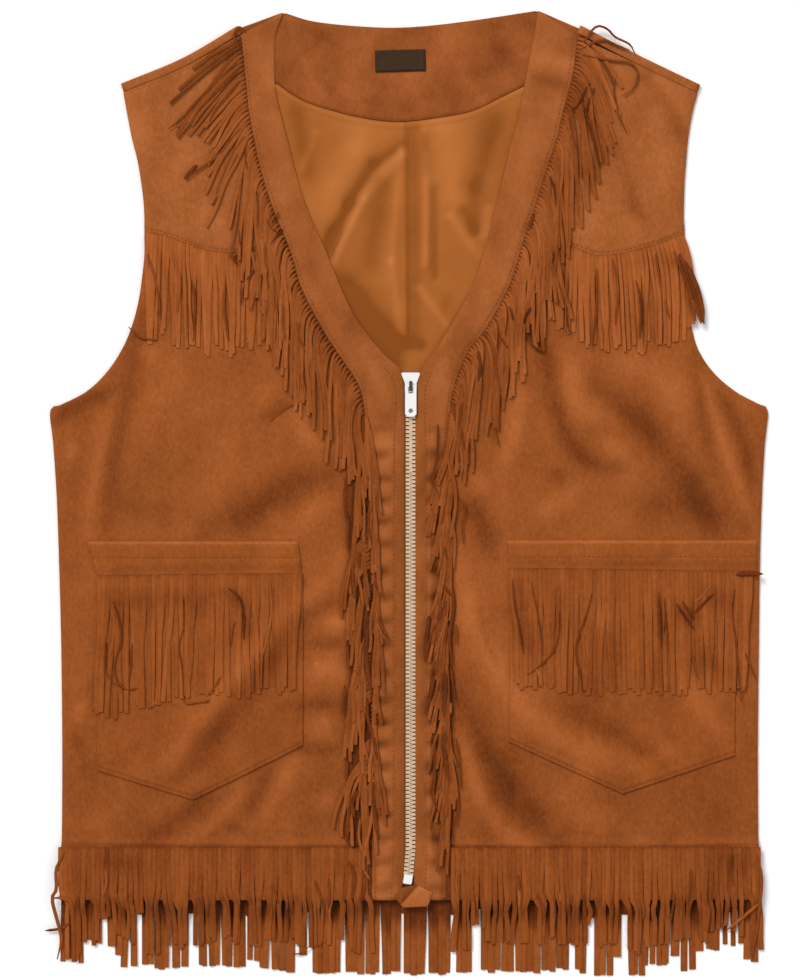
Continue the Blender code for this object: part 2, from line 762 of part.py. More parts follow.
def build_band_fringe(name, side, stations, count, way, seed):
    sign = SIGN[side]
    table = np.array(stations)
    seam = SECTIONS[side][:, 2:4]
    ys = np.linspace(0, 1, 400)
    dense = np.column_stack([np.interp(ys, np.linspace(0, 1, len(seam)), seam[:, k]) for k in range(2)])
    inside = dense[(dense[:, 1] <= table[0, 0]) & (dense[:, 1] >= table[-1, 0])]
    steps = np.concatenate([[0], np.cumsum(np.hypot(*np.diff(inside, axis=0).T))])
    shares = np.linspace(0, steps[-1], 160)
    line = np.column_stack([np.interp(shares, steps, inside[:, k]) for k in range(2)])
    line[:, 0] += sign * way * (GAP / 2 + LAYER)
    pick = random.Random(seed)
    strands = []
    for k in range(count):
        start, end = k / count, (k + 1) / count
        y = np.interp(start, np.linspace(0, 1, len(line)), line[:, 1])
        values = [np.interp(-y, -table[:, 0], table[:, c]) for c in (1, 2, 3)]
        values[2] *= pick.uniform(0.86, 1.08)
        out = np.array([sign * way * BAND_STRIP[0], BAND_STRIP[1]])
        strand = strand_on_line(line, start, end, out, ROOT_SHARE, values, sign, SHORT_FIRST_STEP)
        strand["width"] = STRAND_WIDTH
        strands.append(strand)

    def floor(x, y, row):
        raised = YOKE_FRINGE_CLEARANCE * smoothstep((y - 80.0) / 14.0) if row > 1 else 0.0
        if abs(x) < 26.5 and y < 100.0:
            z = band_top_at(side, x, y) + LAYER
        else:
            z = on_front(x, y)
        return z + raised

    build_fringe(name, strands, floor)


def band_top_at(side, x, y):
    """Top of the straight stretch of a band."""
    inner_x = SECTIONS[side][18][4]
    seam_x = SECTIONS[side][18][2]
    share = min(max((x - inner_x) / (seam_x - inner_x), 0.0), 1.0)
    return band_floor((inner_x, y), (seam_x, y), share) + SUEDE + PUCKER_HEIGHT


def build_yoke_fringe(side):
    sign = SIGN[side]
    line = yoke_seam(side, YOKE_COLUMNS + 1) - np.array([0.0, GAP / 2])
    table = np.array(YOKE_FRINGE[side])
    pick = random.Random(21 if side == "left" else 22)
    strands = []
    first, last = table[0, 0], table[-1, 0]
    for k in range(YOKE_STRANDS):
        start = first + (last - first) * k / YOKE_STRANDS
        end = first + (last - first) * (k + 1) / YOKE_STRANDS
        values = [np.interp(start, table[:, 0], table[:, c]) for c in (1, 2, 3)]
        values[2] *= pick.uniform(0.94, 1.05)
        down = np.array([0.0, -STRIP_HEIGHT])
        strand = strand_on_line(line, start, end, down, YOKE_ROOT_SHARE, values, sign)
        strand["width"] = STRAND_WIDTH
        strands.append(strand)
    build_fringe("yoke_fringe_" + side, strands, lambda x, y, row: on_front(x, y))


def build_pocket_fringe(side):
    corners = POCKETS[side]["band"]
    line = straight(corners[3], corners[2], 20) - np.array([0.0, GAP])
    table = np.array(POCKET_FRINGE[side])
    pick = random.Random(31 if side == "left" else 32)
    strands = []
    for k in range(POCKET_STRANDS):
        start = k / POCKET_STRANDS
        end = (k + 1) / POCKET_STRANDS
        x = np.interp(start, [0, 1], [line[0][0], line[-1][0]])
        values = [pick.uniform(-3, 3), pick.uniform(-1, 1), np.interp(x, table[:, 0], table[:, 1])]
        values[2] *= pick.uniform(0.95, 1.03)
        down = np.array([0.0, -STRIP_HEIGHT])
        strand = strand_on_line(line, start, end, down, ROOT_SHARE, values, 1.0)
        strand["width"] = POCKET_STRAND_WIDTH
        strands.append(strand)
    build_fringe("pocket_fringe_" + side, strands, lambda x, y, row: on_front(x, y) + SUEDE + LAYER)


def build_hem_fringe(name, start_x, end_x, count, length, seed):
    line = straight((start_x, HEM_FRINGE_TOP), (end_x, HEM_FRINGE_TOP), 10)
    pick = random.Random(seed)
    strands = []
    for k in range(count):
        share = (k / count, (k + 1) / count)
        lean = pick.uniform(-3, 3)
        values = [lean, lean + pick.uniform(-2, 2), length * pick.uniform(0.95, 1.03)]
        down = np.array([0.0, -STRIP_HEIGHT])
        strand = strand_on_line(line, share[0], share[1], down, ROOT_SHARE, values, 1.0, PAST_HEM_STEPS)
        strand["width"] = 0.5 * abs(end_x - start_x) / count
        strands.append(strand)
    build_fringe(name, strands, back_hem_floor if name == "hem_fringe_back" else front_hem_floor)


# How far down each row of a front strand has come, from the front's top to the back's strands
HEM_STRAND_FALL = (0.0, 0.0, 0.0, 0.72, 1.0)


def front_hem_floor(x, y, row):
    """The front's strands lie on it to just past the hem, then come down over the back's strands."""
    lie_on_front = on_front(x, max(y, HEM))
    down = HEM_STRAND_FALL[row]
    return lie_on_front + (2 * GAP + TRIM - lie_on_front) * down


def back_hem_floor(x, y, row):
    return GAP


# Zip metal


def build_chain():
    rows = [CHAIN_TOP] + list(range(65, -236, -15)) + [STEP_TOP, STEP_FOOT, -258.0, CHAIN_BOTTOM]
    grid = []
    for y in rows:
        z = chain_middle(y)
        pair = []
        for end in (-0.5, 0.0, 0.5):
            x = zip_x(y) + end * CHAIN_WIDTH
            half = CHAIN_THICK / 2
            pair.append(((x, y, z - half), (x, y, z + half)))
        grid.append(pair)
    two_skins("zip_chain", grid, "zip_metal")


def prism(outline, low, high):
    """A bmesh of an upright prism over an outline."""
    bm = bmesh.new()
    under = [bm.verts.new((x * MM, y * MM, low * MM)) for x, y in outline]
    over = [bm.verts.new((x * MM, y * MM, high * MM)) for x, y in outline]
    bm.faces.new(under[::-1])
    bm.faces.new(over)
    for k in range(len(outline)):
        after = (k + 1) % len(outline)
        bm.faces.new([under[k], under[after], over[after], over[k]])
    return bm


def box(name, low, high):
    corners = [(low[0], low[1]), (high[0], low[1]), (high[0], high[1]), (low[0], high[1])]
    return finish_object(name, prism(corners, low[2], high[2]), "zip_metal", smooth=False)


def combine(target, tool, operation):
    """Add a Boolean to the target. The tool stays as a hidden helper."""
    modifier = target.modifiers.new(operation.lower(), "BOOLEAN")
    modifier.operation = operation
    modifier.object = tool
    tool.hide_render = True
    tool.display_type = "WIRE"


SLIDER_PLATE = 0.9
SLIDER_WIDE = 13.4
SLIDER_NARROW = 8.4
SLIDER_FLARE = 7.0
SLIDER_CORNER = 1.1
CROWN_WIDTH = 2.2
CROWN_LENGTH = 7.0
CROWN_CLEAR = 1.9
CROWN_BAR = 0.9
CROWN_POST = 1.1
EYE_RADIUS = 0.55


def slider_levels():
    middle = chain_middle(SLIDER_BOTTOM)
    half = CHAIN_THICK / 2 + GAP
    return middle - half - SLIDER_PLATE, middle - half, middle + half, middle + half + SLIDER_PLATE


def build_slider():
    low, channel_low, channel_high, top = slider_levels()
    wide, narrow = SLIDER_WIDE / 2, SLIDER_NARROW / 2
    neck_y = SLIDER_TOP - SLIDER_FLARE
    half = [
        (narrow - SLIDER_CORNER, SLIDER_BOTTOM),
        (narrow, SLIDER_BOTTOM + SLIDER_CORNER),
        (narrow, neck_y),
        (wide, SLIDER_TOP - SLIDER_CORNER),
        (wide - SLIDER_CORNER, SLIDER_TOP),
    ]
    outline = [(ZIP_X + x, y) for x, y in half] + [(ZIP_X - x, y) for x, y in half[::-1]]
    slider = finish_object("zip_slider", prism(outline, low, top), "zip_metal")
    reach = CHAIN_WIDTH / 2 + GAP
    channel = box(
        "slider_channel",
        (ZIP_X - reach, SLIDER_BOTTOM - 5.0, channel_low),
        (ZIP_X + reach, SLIDER_TOP - 3.0, channel_high),
    )
    combine(slider, channel, "DIFFERENCE")
    crown_top = top + CROWN_CLEAR + CROWN_BAR
    ends = (PIVOT_Y - CROWN_LENGTH / 2, PIVOT_Y + CROWN_LENGTH / 2)
    crown_low = (ZIP_X - CROWN_WIDTH / 2, ends[0], top - SLIDER_PLATE / 2)
    crown = box("slider_crown", crown_low, (ZIP_X + CROWN_WIDTH / 2, ends[1], crown_top))
    combine(slider, crown, "UNION")
    eye = box(
        "slider_eye",
        (ZIP_X - CROWN_WIDTH, ends[0] + CROWN_POST, top),
        (ZIP_X + CROWN_WIDTH, ends[1] - CROWN_POST, top + CROWN_CLEAR),
    )
    combine(slider, eye, "DIFFERENCE")


TAB_LENGTH = 22.0
TAB_WIDTH = 8.0
TAB_THICK = 1.2
TAB_HEAD = 0.6
TAB_SLOT = (3.2, 4.4)
TAB_HOLE = 1.5
TAB_HOLE_FROM_FOOT = 4.2
TAB_FOOT_CORNER = 1.8
TAB_HEAD_CORNER = 1.0


def build_pull_tab():
    """The tab lies down over the chain. Its origin is on the hinge line through the crown."""
    top = slider_levels()[3]
    pivot = (ZIP_X, PIVOT_Y, top + CROWN_CLEAR / 2)
    half = TAB_WIDTH / 2
    foot = -TAB_LENGTH + TAB_HEAD
    right = [
        (half - TAB_FOOT_CORNER, foot),
        (half, foot + TAB_FOOT_CORNER),
        (half, TAB_HEAD - TAB_HEAD_CORNER),
        (half - TAB_HEAD_CORNER, TAB_HEAD),
    ]
    outline = right + [(-x, y) for x, y in right[::-1]]
    tab = finish_object("pull_tab", prism(outline, -TAB_THICK / 2, TAB_THICK / 2), "zip_metal")
    reach = 2 * TAB_THICK
    slot_width, slot_length = TAB_SLOT
    slot_low = (-slot_width / 2, -EYE_RADIUS - slot_length, -reach)
    slot = box("tab_slot", slot_low, (slot_width / 2, -EYE_RADIUS, reach))
    ring = []
    for k in range(20):
        turn = math.tau * k / 20
        ring.append((TAB_HOLE * math.cos(turn), foot + TAB_HOLE_FROM_FOOT + TAB_HOLE * math.sin(turn)))
    hole = finish_object("tab_hole", prism(ring, -reach, reach), "zip_metal")
    for tool in (slot, hole):
        combine(tab, tool, "DIFFERENCE")
        tool.parent = tab
    tab.location = [c * MM for c in pivot]


STOP_SIZE = (8.0, 5.0, 1.0, 1.6)
STOP_EDGE = 0.4


def build_stop():
    """The bottom stop closes over the chain's end."""
    z = chain_middle(CHAIN_BOTTOM)
    x = zip_x(CHAIN_BOTTOM)
    width, length, below, above = STOP_SIZE
    top_y = CHAIN_BOTTOM - GAP
    stop = box("zip_stop", (x - width / 2, top_y - length, z - below), (x + width / 2, top_y, z + above))
    bevel = stop.modifiers.new("rounded", "BEVEL")
    bevel.width = STOP_EDGE * MM
    bevel.segments = 2


def main():
    clear_scene()
    build_back()
    build_facing()
    build_lining()
    build_label()
    for side in ("left", "right"):
        build_yoke(side)
        build_front(side)
        build_band(side)
        build_tape(side)
        build_pocket(side)
        build_yoke_fringe(side)
        build_pocket_fringe(side)
    for fringe in BAND_FRINGES:
        build_band_fringe(*fringe)
    for fringe in HEM_FRINGES:
        build_hem_fringe(*fringe)
    build_chain()
    build_slider()
    build_pull_tab()
    build_stop()


main()
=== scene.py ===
import math
import random

import bmesh
import bpy
import numpy as np
from mathutils.geometry import tessellate_polygon
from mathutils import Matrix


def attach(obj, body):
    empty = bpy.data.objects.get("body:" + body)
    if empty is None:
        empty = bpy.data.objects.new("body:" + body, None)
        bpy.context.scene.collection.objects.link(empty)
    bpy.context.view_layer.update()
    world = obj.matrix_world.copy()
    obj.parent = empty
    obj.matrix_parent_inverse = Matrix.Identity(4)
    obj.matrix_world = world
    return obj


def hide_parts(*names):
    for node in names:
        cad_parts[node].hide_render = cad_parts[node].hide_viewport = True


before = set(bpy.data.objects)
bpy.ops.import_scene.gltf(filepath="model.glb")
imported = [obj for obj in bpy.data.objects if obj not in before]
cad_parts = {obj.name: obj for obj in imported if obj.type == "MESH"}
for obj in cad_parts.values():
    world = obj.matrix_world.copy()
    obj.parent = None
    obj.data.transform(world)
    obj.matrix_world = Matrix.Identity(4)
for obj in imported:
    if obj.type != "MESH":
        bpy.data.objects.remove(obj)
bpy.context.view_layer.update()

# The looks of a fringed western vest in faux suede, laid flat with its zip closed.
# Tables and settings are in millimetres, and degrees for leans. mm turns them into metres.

mm = 0.001

# The same sections as the solids: side or armhole, the band's seam, the band's edge at the zip
leftSections = [
    # sideX, sideY, seamX, seamY, innerX, innerY
    (-199.5, 280, -117.6, 319.9, -88.2, 335.3),
    (-196.7, 264.6, -115.8, 304.5, -93.5, 319.9),
    (-193.6, 248.5, -114.1, 285.6, -94.3, 300.3),
    (-189.7, 233.1, -112, 266, -93.5, 280.7),
    (-187.3, 219.1, -108.2, 246.4, -88.9, 261.1),
    (-185.5, 205.1, -104, 226.8, -83.3, 240.1),
    (-184.8, 193.2, -95.2, 198.8, -76.3, 212.8),
    (-184.8, 182.7, -86.1, 177.1, -68.6, 191.8),
    (-184.8, 166.6, -80.5, 161, -62.3, 178.5),
    (-186.2, 152.6, -75.9, 144.9, -55.3, 162),
    (-188.7, 135.1, -68.2, 128.8, -48, 144),
    (-193.2, 117.6, -59, 112, -38.9, 124.6),
    (-200.2, 100.8, -49, 96.6, -27.3, 107.8),
    (-211.4, 84, -38.9, 81.9, -16, 95),
    (-225.4, 70.7, -33.3, 69.3, -6.3, 86),
    (-242.9, 61.6, -30.5, 51.1, -3.5, 74),
    (-250.6, 57.4, -28, 33.6, -3.5, 44.1),
    (-248.5, 33.6, -25.9, 12.6, -3.5, 18),
    (-246, -4.9, -25.9, -18.9, -3.5, -16),
    (-244.3, -53.9, -25.9, -60, -3.5, -58),
    (-242.9, -109.9, -25.9, -112, -3.5, -111),
    (-242.2, -179.9, -25.9, -180, -3.5, -180),
    (-242.5, -240, -25.9, -240, -3.5, -240),
    (-243, -248, -25.9, -248, -3.5, -248),
    (-244, -284, -25.9, -284, -5.2, -284),
]
rightSections = [
    # sideX, sideY, seamX, seamY, innerX, innerY
    (201.6, 279.3, 117.6, 318.5, 90.3, 336.7),
    (198.1, 266.7, 116.2, 304.5, 87.5, 318.5),
    (195, 248.5, 113.4, 287, 84, 300.3),
    (193.6, 233.1, 108.5, 269.5, 80.2, 280.7),
    (192.5, 219.1, 103.6, 248.5, 76.3, 261.1),
    (192, 205.1, 97.3, 229.6, 70.7, 240.1),
    (191.8, 193.2, 88.9, 203, 64.4, 213.5),
    (192.5, 182, 81.9, 182.7, 60.2, 196.7),
    (192.9, 166.6, 77, 165.9, 56, 179.9),
    (193.9, 152.6, 71, 147, 51.1, 163.1),
    (195.7, 135.1, 62.2, 129, 44.6, 144.5),
    (197.1, 117.6, 52, 112.5, 34.5, 125.5),
    (202, 100.1, 41.3, 98.7, 23.8, 107.1),
    (212.8, 84, 34.3, 82.6, 14.9, 94.6),
    (228.2, 70.7, 30.1, 68.6, 8.8, 86),
    (243.6, 62.3, 28, 51.1, 5.9, 74),
    (250.6, 57.4, 26.3, 33.6, 4.8, 43),
    (248.5, 33.6, 25.9, 12.6, 4.8, 18),
    (246.4, -4.9, 25.9, -18.9, 4.8, -16),
    (245, -53.9, 25.9, -60, 4.8, -58),
    (244.3, -109.9, 25.9, -112, 4.8, -111),
    (243.6, -179.9, 25.9, -180, 4.8, -180),
    (243.9, -240, 25.9, -240, 4.8, -240),
    (244.2, -248, 25.9, -248, 4.8, -248),
    (245, -284, 25.9, -284, 3.4, -284),
]
sections = {"left": np.array(leftSections), "right": np.array(rightSections)}
outwards = {"left": -1.0, "right": 1.0}
yokeRow = 7

yokeDip = [
    # share of the way from the armhole to the band, left, right
    (0.00, 0, 0),
    (0.14, -1.8, -7),
    (0.28, -6, -12),
    (0.42, -10.3, -15.5),
    (0.56, -11.4, -16.3),
    (0.70, -11, -11),
    (0.85, -7, -5),
    (1.00, 0, 0),
]
shoulder = {
    "left": [(-201.6, 286.3), (-157.5, 304.6), (-120, 326.6)],
    "right": [(203.7, 285.6), (161, 306), (120, 327)],
}
backNeck = [(-88.2, 336), (-66, 329.5), (-30, 325.9), (0, 325.6), (38, 329.4), (90.3, 337.2)]
facingFoot = [
    (-100, 286.5), (-93.8, 287), (-81.2, 278.6), (-66.5, 271.6), (-36.4, 263.2), (-6.3, 259.7),
    (28.7, 263.9), (46.2, 268.1), (63.7, 276.5), (81.2, 284.9), (91, 287.5),
]
facingTop = [
    (-97.5, 327.5), (-88.2, 334), (-66, 328.6), (-30, 325), (0, 324.7), (38, 328.5),
    (90.3, 335.4), (97.5, 330),
]
liningSides = {
    "left": [(-100, 286.2), (-96, 258), (-86, 215), (-68, 168), (-47, 125), (-30, 64)],
    "right": [(91, 287.2), (86, 258), (74, 215), (60, 168), (45, 128), (30, 64)],
}

cloth = {
    "suede": 1.2, "satin": 1.0, "trim": 1.0, "gap": 0.3,
    "pillow": 1.8, "pillowWidth": 72.0,
    "stepTop": -240.0, "stepFoot": -248.0, "hemLift": 1.6, "hem": -284.0,
    "net": 3.0,  # spacing of the fine nets
    "creaseGain": 1.3, "creaseDepth": 1.9,
    "hemRidge": -243.8, "hemGroove": -246.6,
}
# Distances from an edge where a net has its closest lines, to round the edge and sink its seam
closeLines = (0.0, 0.45, 1.0, 1.8, 2.6, 3.4, 4.6)

# The largest folds, as in the solids
frontFolds = [
    # x1, y1, x2, y2, halfWidth, height
    (-192, 118, -218, -25, 30, 1.7),
    (207, 80, 236, -27, 30, 1.5),
    (120, 105, 165, 30, 34, -0.9),
    (-110, 60, -140, 10, 36, -0.8),
    (-85, -100, -150, -205, 34, 1.2),
    (40, -160, 72, -232, 30, 1),
    (142, 240, 165, 190, 32, 0.9),
    (-150, 255, -165, 200, 32, 0.8),
]
# Creases and brushed shades of the fronts, listed one by one: each follows a line through a few points
strokes = [
    # halfWidth, height, tone, then x, y, x, y and so on; the tone paints light and shade along the creases
    # and marks the brushed nap
    # left front, from the armhole down
    (7.5, -1.3, -0.38, -186, 124, -196, 80, -205, 30, -213, -30),
    (6, 1.3, 0.26, -196, 92, -208, 50, -221, -5, -224, -30), (6, 0, -0.42, -206, 72, -232, 62, -248, 50),
    (4.5, 0.5, 0.28, -236, 36, -234, 22), (6, -0.5, -0.10, -222, 60, -228, 30, -236, 0),
    (6, 0.3, 0.28, -186, 100, -176, 95), (24, 0.5, 0.12, -170, 84, -150, 60, -120, 30),
    (5, -0.5, -0.30, -104, 52, -92, 58, -84, 66), (6.5, 1, 0.50, -78, 62, -74, 44, -66, 32),
    (11, -1.5, -0.46, -46, 14, -66, 10, -86, 2, -112, -14, -140, -26),
    (8, 0.9, 0.34, -54, -6, -66, -12, -78, -26), (12, -0.3, -0.18, -160, -18, -190, -10, -205, -20),
    # the long folds from the left column of fringe to the side
    (10.5, 1.9, 0.42, -46, -46, -60, -66, -88, -92, -112, -120, -136, -150, -166, -188, -185, -194),
    (10, -1.7, -0.50, -56, -78, -84, -96, -102, -124, -122, -152, -146, -178, -160, -200),
    (7, -0.6, -0.34, -140, -212, -158, -226, -184, -244), (6.5, 0.9, 0.45, -44, -90, -58, -91),
    (4.5, -0.6, -0.36, -42, -105, -72, -106), (9, 1, 0.46, -48, -124, -66, -124),
    (6.5, -0.7, -0.38, -44, -146, -90, -150), (8, 0.8, 0.36, -58, -158, -60, -172),
    (4.5, -0.6, -0.30, -52, -180, -84, -180), (6.5, 0.9, 0.36, -78, -186, -90, -206, -104, -234),
    (4, -0.4, -0.20, -96, -190, -104, -208, -112, -222),
    (5.5, 0.7, 0.30, -114, -202, -124, -218, -150, -242), (4, -0.4, -0.30, -118, -236, -128, -231),
    (7, 0.5, 0.30, -60, -214, -52, -217), (5, 0.4, 0.26, -140, -198, -152, -201),
    (5, 0.4, 0.24, -224, -144, -236, -162), (5, -0.3, -0.20, -234, -160, -229, -178),
    (8, 0.3, 0.20, -214, -229, -230, -236),
    # right front, from the V to the side
    (7, -1.5, -0.50, 84, 112, 96, 96, 102, 66, 108, 42, 124, 22, 146, 16),
    (9, 1, 0.42, 112, 96, 114, 74, 124, 56, 140, 52), (7, 0.8, 0.38, 78, 84, 76, 56, 70, 30, 64, 14),
    (4, -0.3, -0.30, 58, 46, 60, 32), (7, 0.5, 0.34, 44, 14, 54, 3),
    (11, -1.7, -0.50, 132, 76, 152, 58, 176, 34, 196, 6, 214, -24),
    (12, 0.8, 0.34, 152, 92, 176, 80, 192, 52), (4, -0.7, -0.22, 199, 90, 206, 50, 216, 10),
    (4.2, 1.3, 0.36, 206, 82, 218, 40, 232, 0, 241, -22), (5.5, -1.2, -0.46, 218, 70, 232, 40, 240, 6),
    (6, 0.5, 0.32, 136, 38, 150, 24), (5, 0.3, 0.20, 146, 9, 158, 2),
    (8, 0.6, 0.32, 118, 4, 108, -6, 90, -16), (6, -0.4, -0.26, 100, 14, 106, 7),
    (14, -0.4, -0.32, 160, -6, 200, -14, 232, -22), (8, -0.9, -0.42, 40, -4, 52, -22, 60, -44),
    # the long folds from the right column of fringe to the side
    (10.5, 1.9, 0.44, 36, -44, 44, -84, 58, -118, 76, -146, 104, -172, 140, -188, 166, -194),
    (2.2, -0.4, -0.30, 48, -76, 54, -104, 64, -122), (7, 0.9, 0.38, 150, -162, 170, -170, 190, -186),
    (3, -0.3, -0.25, 152, -176, 170, -184), (9, -0.6, -0.34, 112, -150, 140, -164, 186, -176),
    (12, -0.3, -0.24, 140, -100, 132, -130, 120, -150), (7, 0.3, 0.28, 130, -84, 142, -92),
    (9, 0.6, 0.32, 190, -128, 206, -150, 222, -176), (7, -0.3, -0.30, 198, -110, 218, -124),
    (12, -1.6, -0.46, 32, -136, 44, -158, 58, -186, 78, -218, 104, -242),
    (6, 1.2, 0.42, 38, -166, 46, -200, 62, -232, 84, -246),
    (11, 0.5, 0.24, 104, -206, 124, -226, 146, -232), (12, -0.2, -0.16, 200, -222, 226, -232),
    # yokes
    (5.5, -0.9, -0.36, 140, 250, 147, 228, 158, 200, 170, 184),
    (4.5, 0.8, 0.26, 134, 262, 142, 236, 152, 208), (5, 0.5, 0.22, 174, 288, 186, 272, 193, 262),
    (5, -0.6, -0.34, 166, 290, 180, 272, 190, 250, 191, 236), (8, 0.4, 0.06, 170, 262, 176, 236, 188, 214),
    (9, 0.5, 0.22, 122, 206, 127, 184), (8, 0.5, 0.28, -193, 262, -186, 244),
    (9, 0.4, 0.26, -150, 196, -128, 187), (8, -0.3, -0.16, -170, 206, -177, 190),
    # yoke fringes: tone only, painted shade between the strands
    (3, 0, -0.30, -176, 172, -167, 140, -166, 122), (4.5, 0, -0.36, -148, 158, -147, 136, -150, 112),
    (4, 0, -0.22, -127, 150, -128, 130, -127, 108), (3.5, 0, -0.50, 110, 160, 109, 134, 112, 112),
    (3.5, 0, -0.42, 160, 142, 163, 124, 161, 108), (2.8, 0, -0.30, 132, 150, 131, 124, 129, 100),
    (5, 0, -0.46, 176, 166, 190, 158, 196, 138, 200, 122),
    # band fringes: tone only, painted shade between the strands
    (8, 0, -0.30, 122, 290, 118, 272, 112, 262), (5, 0, -0.26, 124, 268, 130, 246, 134, 226),
    (6, 0, -0.26, 104, 232, 100, 214, 102, 200), (7, 0, -0.36, 104, 172, 100, 160, 98, 154),
    (8, 0, -0.36, 86, 132, 80, 118, 76, 108), (6, 0, -0.24, 60, 98, 52, 80, 48, 60),
    (6, 0, -0.30, -96, 196, -90, 180, -84, 168), (6, 0, -0.30, -66, 128, -56, 100, -46, 76),
    (6, 0, -0.16, -116, 196, -118, 170, -116, 140),
    # pocket fringes: tone only, painted shade between the strands, and one lighter patch
    (7, 0, -0.26, -212, -76, -160, -74, -128, -72), (5, 0, -0.26, -205, -78, -197, -96),
    (4.5, 0, -0.50, -128, -68, -116, -78, -114, -104), (5, 0, 0.16, -150, -90, -128, -94),
    (5, 0, -0.42, 76, -62, 80, -100, 86, -116), (5, 0, -0.34, 102, -66, 103, -104),
    (3.6, 0, -0.60, 175, -72, 176, -108), (3, 0, -0.26, 175, -108, 173, -138),
    (6, 0, -0.62, 190, -80, 197, -92), (7, 0, -0.36, 206, -70, 224, -76),
    # hem fringe: tone only, painted shade between the strands
    (8, 0, -0.40, -216, -254, -200, -258, -186, -256), (8, 0, -0.34, 214, -256, 236, -258),
    (9, 0, -0.16, -60, -258, -30, -262),
]

puckers = {"pitch": 17.0, "height": 0.9}


def smooth(value):
    share = np.clip(value, 0.0, 1.0)
    return share * share * (3.0 - 2.0 * share)


def bell(away, width):
    return np.exp(-((away / width) ** 2))


def denseCurve(points, steps=12):
    points = np.array(points, dtype=float)
    padded = np.vstack([2 * points[0] - points[1], points, 2 * points[-1] - points[-2]])
    dense = []
    for i in range(len(points) - 1):
        a, b, c, d = padded[i:i + 4]
        for t in np.linspace(0.0, 1.0, steps, endpoint=False):
            bend = (2 * a - 5 * b + 4 * c - d) * t**2
            turn = (3 * b - a - 3 * c + d) * t**3
            dense.append((2 * b + (c - a) * t + bend + turn) / 2)
    dense.append(points[-1])
    return np.array(dense)


def straightLine(start, end, shares):
    start, end = np.array(start), np.array(end)
    return start + (end - start) * np.array(shares)[:, None]


def lengthsAlong(curve):
    steps = np.linalg.norm(np.diff(curve, axis=0), axis=1)
    return np.concatenate([[0.0], np.cumsum(steps)])


def pointsAt(curve, shares):
    lengths = lengthsAlong(curve)
    wanted = np.array(shares) * lengths[-1]
    return np.column_stack([np.interp(wanted, lengths, curve[:, k]) for k in range(curve.shape[1])])


def netShares(length, first=True, last=True, step=None):  # even lines, with close ones at the edges
    step = step or cloth["net"]
    low = list(closeLines) if first else [0.0]
    high = [length - d for d in reversed(closeLines)] if last else [length]
    count = max(2, round((high[0] - low[-1]) / step))
    middle = list(np.linspace(low[-1], high[0], count + 1))[1:-1]
    return np.array(low + middle + high) / length


def coonsNet(top, foot, first, last):  # curves already sampled at the same shares
    u = (lengthsAlong(top) / lengthsAlong(top)[-1])[None, :, None]
    v = (lengthsAlong(first) / lengthsAlong(first)[-1])[:, None, None]
    across = (1 - u) * first[:, None] + u * last[:, None]
    down = (1 - v) * top[None] + v * foot[None]
    corners = (1 - u) * ((1 - v) * top[0] + v * foot[0]) + u * ((1 - v) * top[-1] + v * foot[-1])
    return across + down - corners


def sampledNet(top, foot, first, last, acrossShares, downShares):
    level = [pointsAt(curve, acrossShares) for curve in (top, foot)]
    return coonsNet(*level, *[pointsAt(curve, downShares) for curve in (first, last)])


# Gentle unevenness, the same each run
waveSet = random.Random(5)
waves = []
for waveLength in (70, 52, 41, 33, 24, 19, 15):
    for turn in range(3):
        heading = waveSet.uniform(0, math.pi)
        across = (math.cos(heading) / waveLength, math.sin(heading) / waveLength)
        waves.append((*across, waveSet.uniform(0, 6.3), waveLength))


def unevenness(x, y):
    total = 0.0 * x
    for acrossX, acrossY, start, waveLength in waves:
        total = total + np.sin(2 * math.pi * (x * acrossX + y * acrossY) + start) * waveLength
    return total / 110.0


# Heights of the laid vest
denseSides = {side: denseCurve(sections[side][:, 0:2]) for side in sections}
denseSeams = {side: denseCurve(sections[side][:, 2:4]) for side in sections}
denseInners = {side: denseCurve(sections[side][:, 4:6]) for side in sections}
perRow = 12


def distanceTo(curve, x, y):
    flatX, flatY = np.ravel(x), np.ravel(y)
    best = np.full(len(flatX), 1e9)
    for start, end in zip(curve[:-1], curve[1:]):
        reach = end - start
        share = ((flatX - start[0]) * reach[0] + (flatY - start[1]) * reach[1]) / max(reach @ reach, 1e-9)
        share = np.clip(share, 0, 1)
        awayX, awayY = flatX - start[0] - share * reach[0], flatY - start[1] - share * reach[1]
        best = np.minimum(best, np.hypot(awayX, awayY))
    return best.reshape(np.shape(x))


def sideInset(x, y):
    left = distanceTo(denseSides["left"][::3], x, y)
    right = distanceTo(denseSides["right"][::3], x, y)
    return np.minimum(left, right)


def foldHeight(x, y, folds):
    total = 0.0 * x
    for x1, y1, x2, y2, halfWidth, height in folds:
        share = ((x - x1) * (x2 - x1) + (y - y1) * (y2 - y1)) / ((x2 - x1) ** 2 + (y2 - y1) ** 2)
        share = np.clip(share, 0, 1)
        away = np.hypot(x - x1 - share * (x2 - x1), y - y1 - share * (y2 - y1))
        total = total + height * bell(away, halfWidth)
    return total


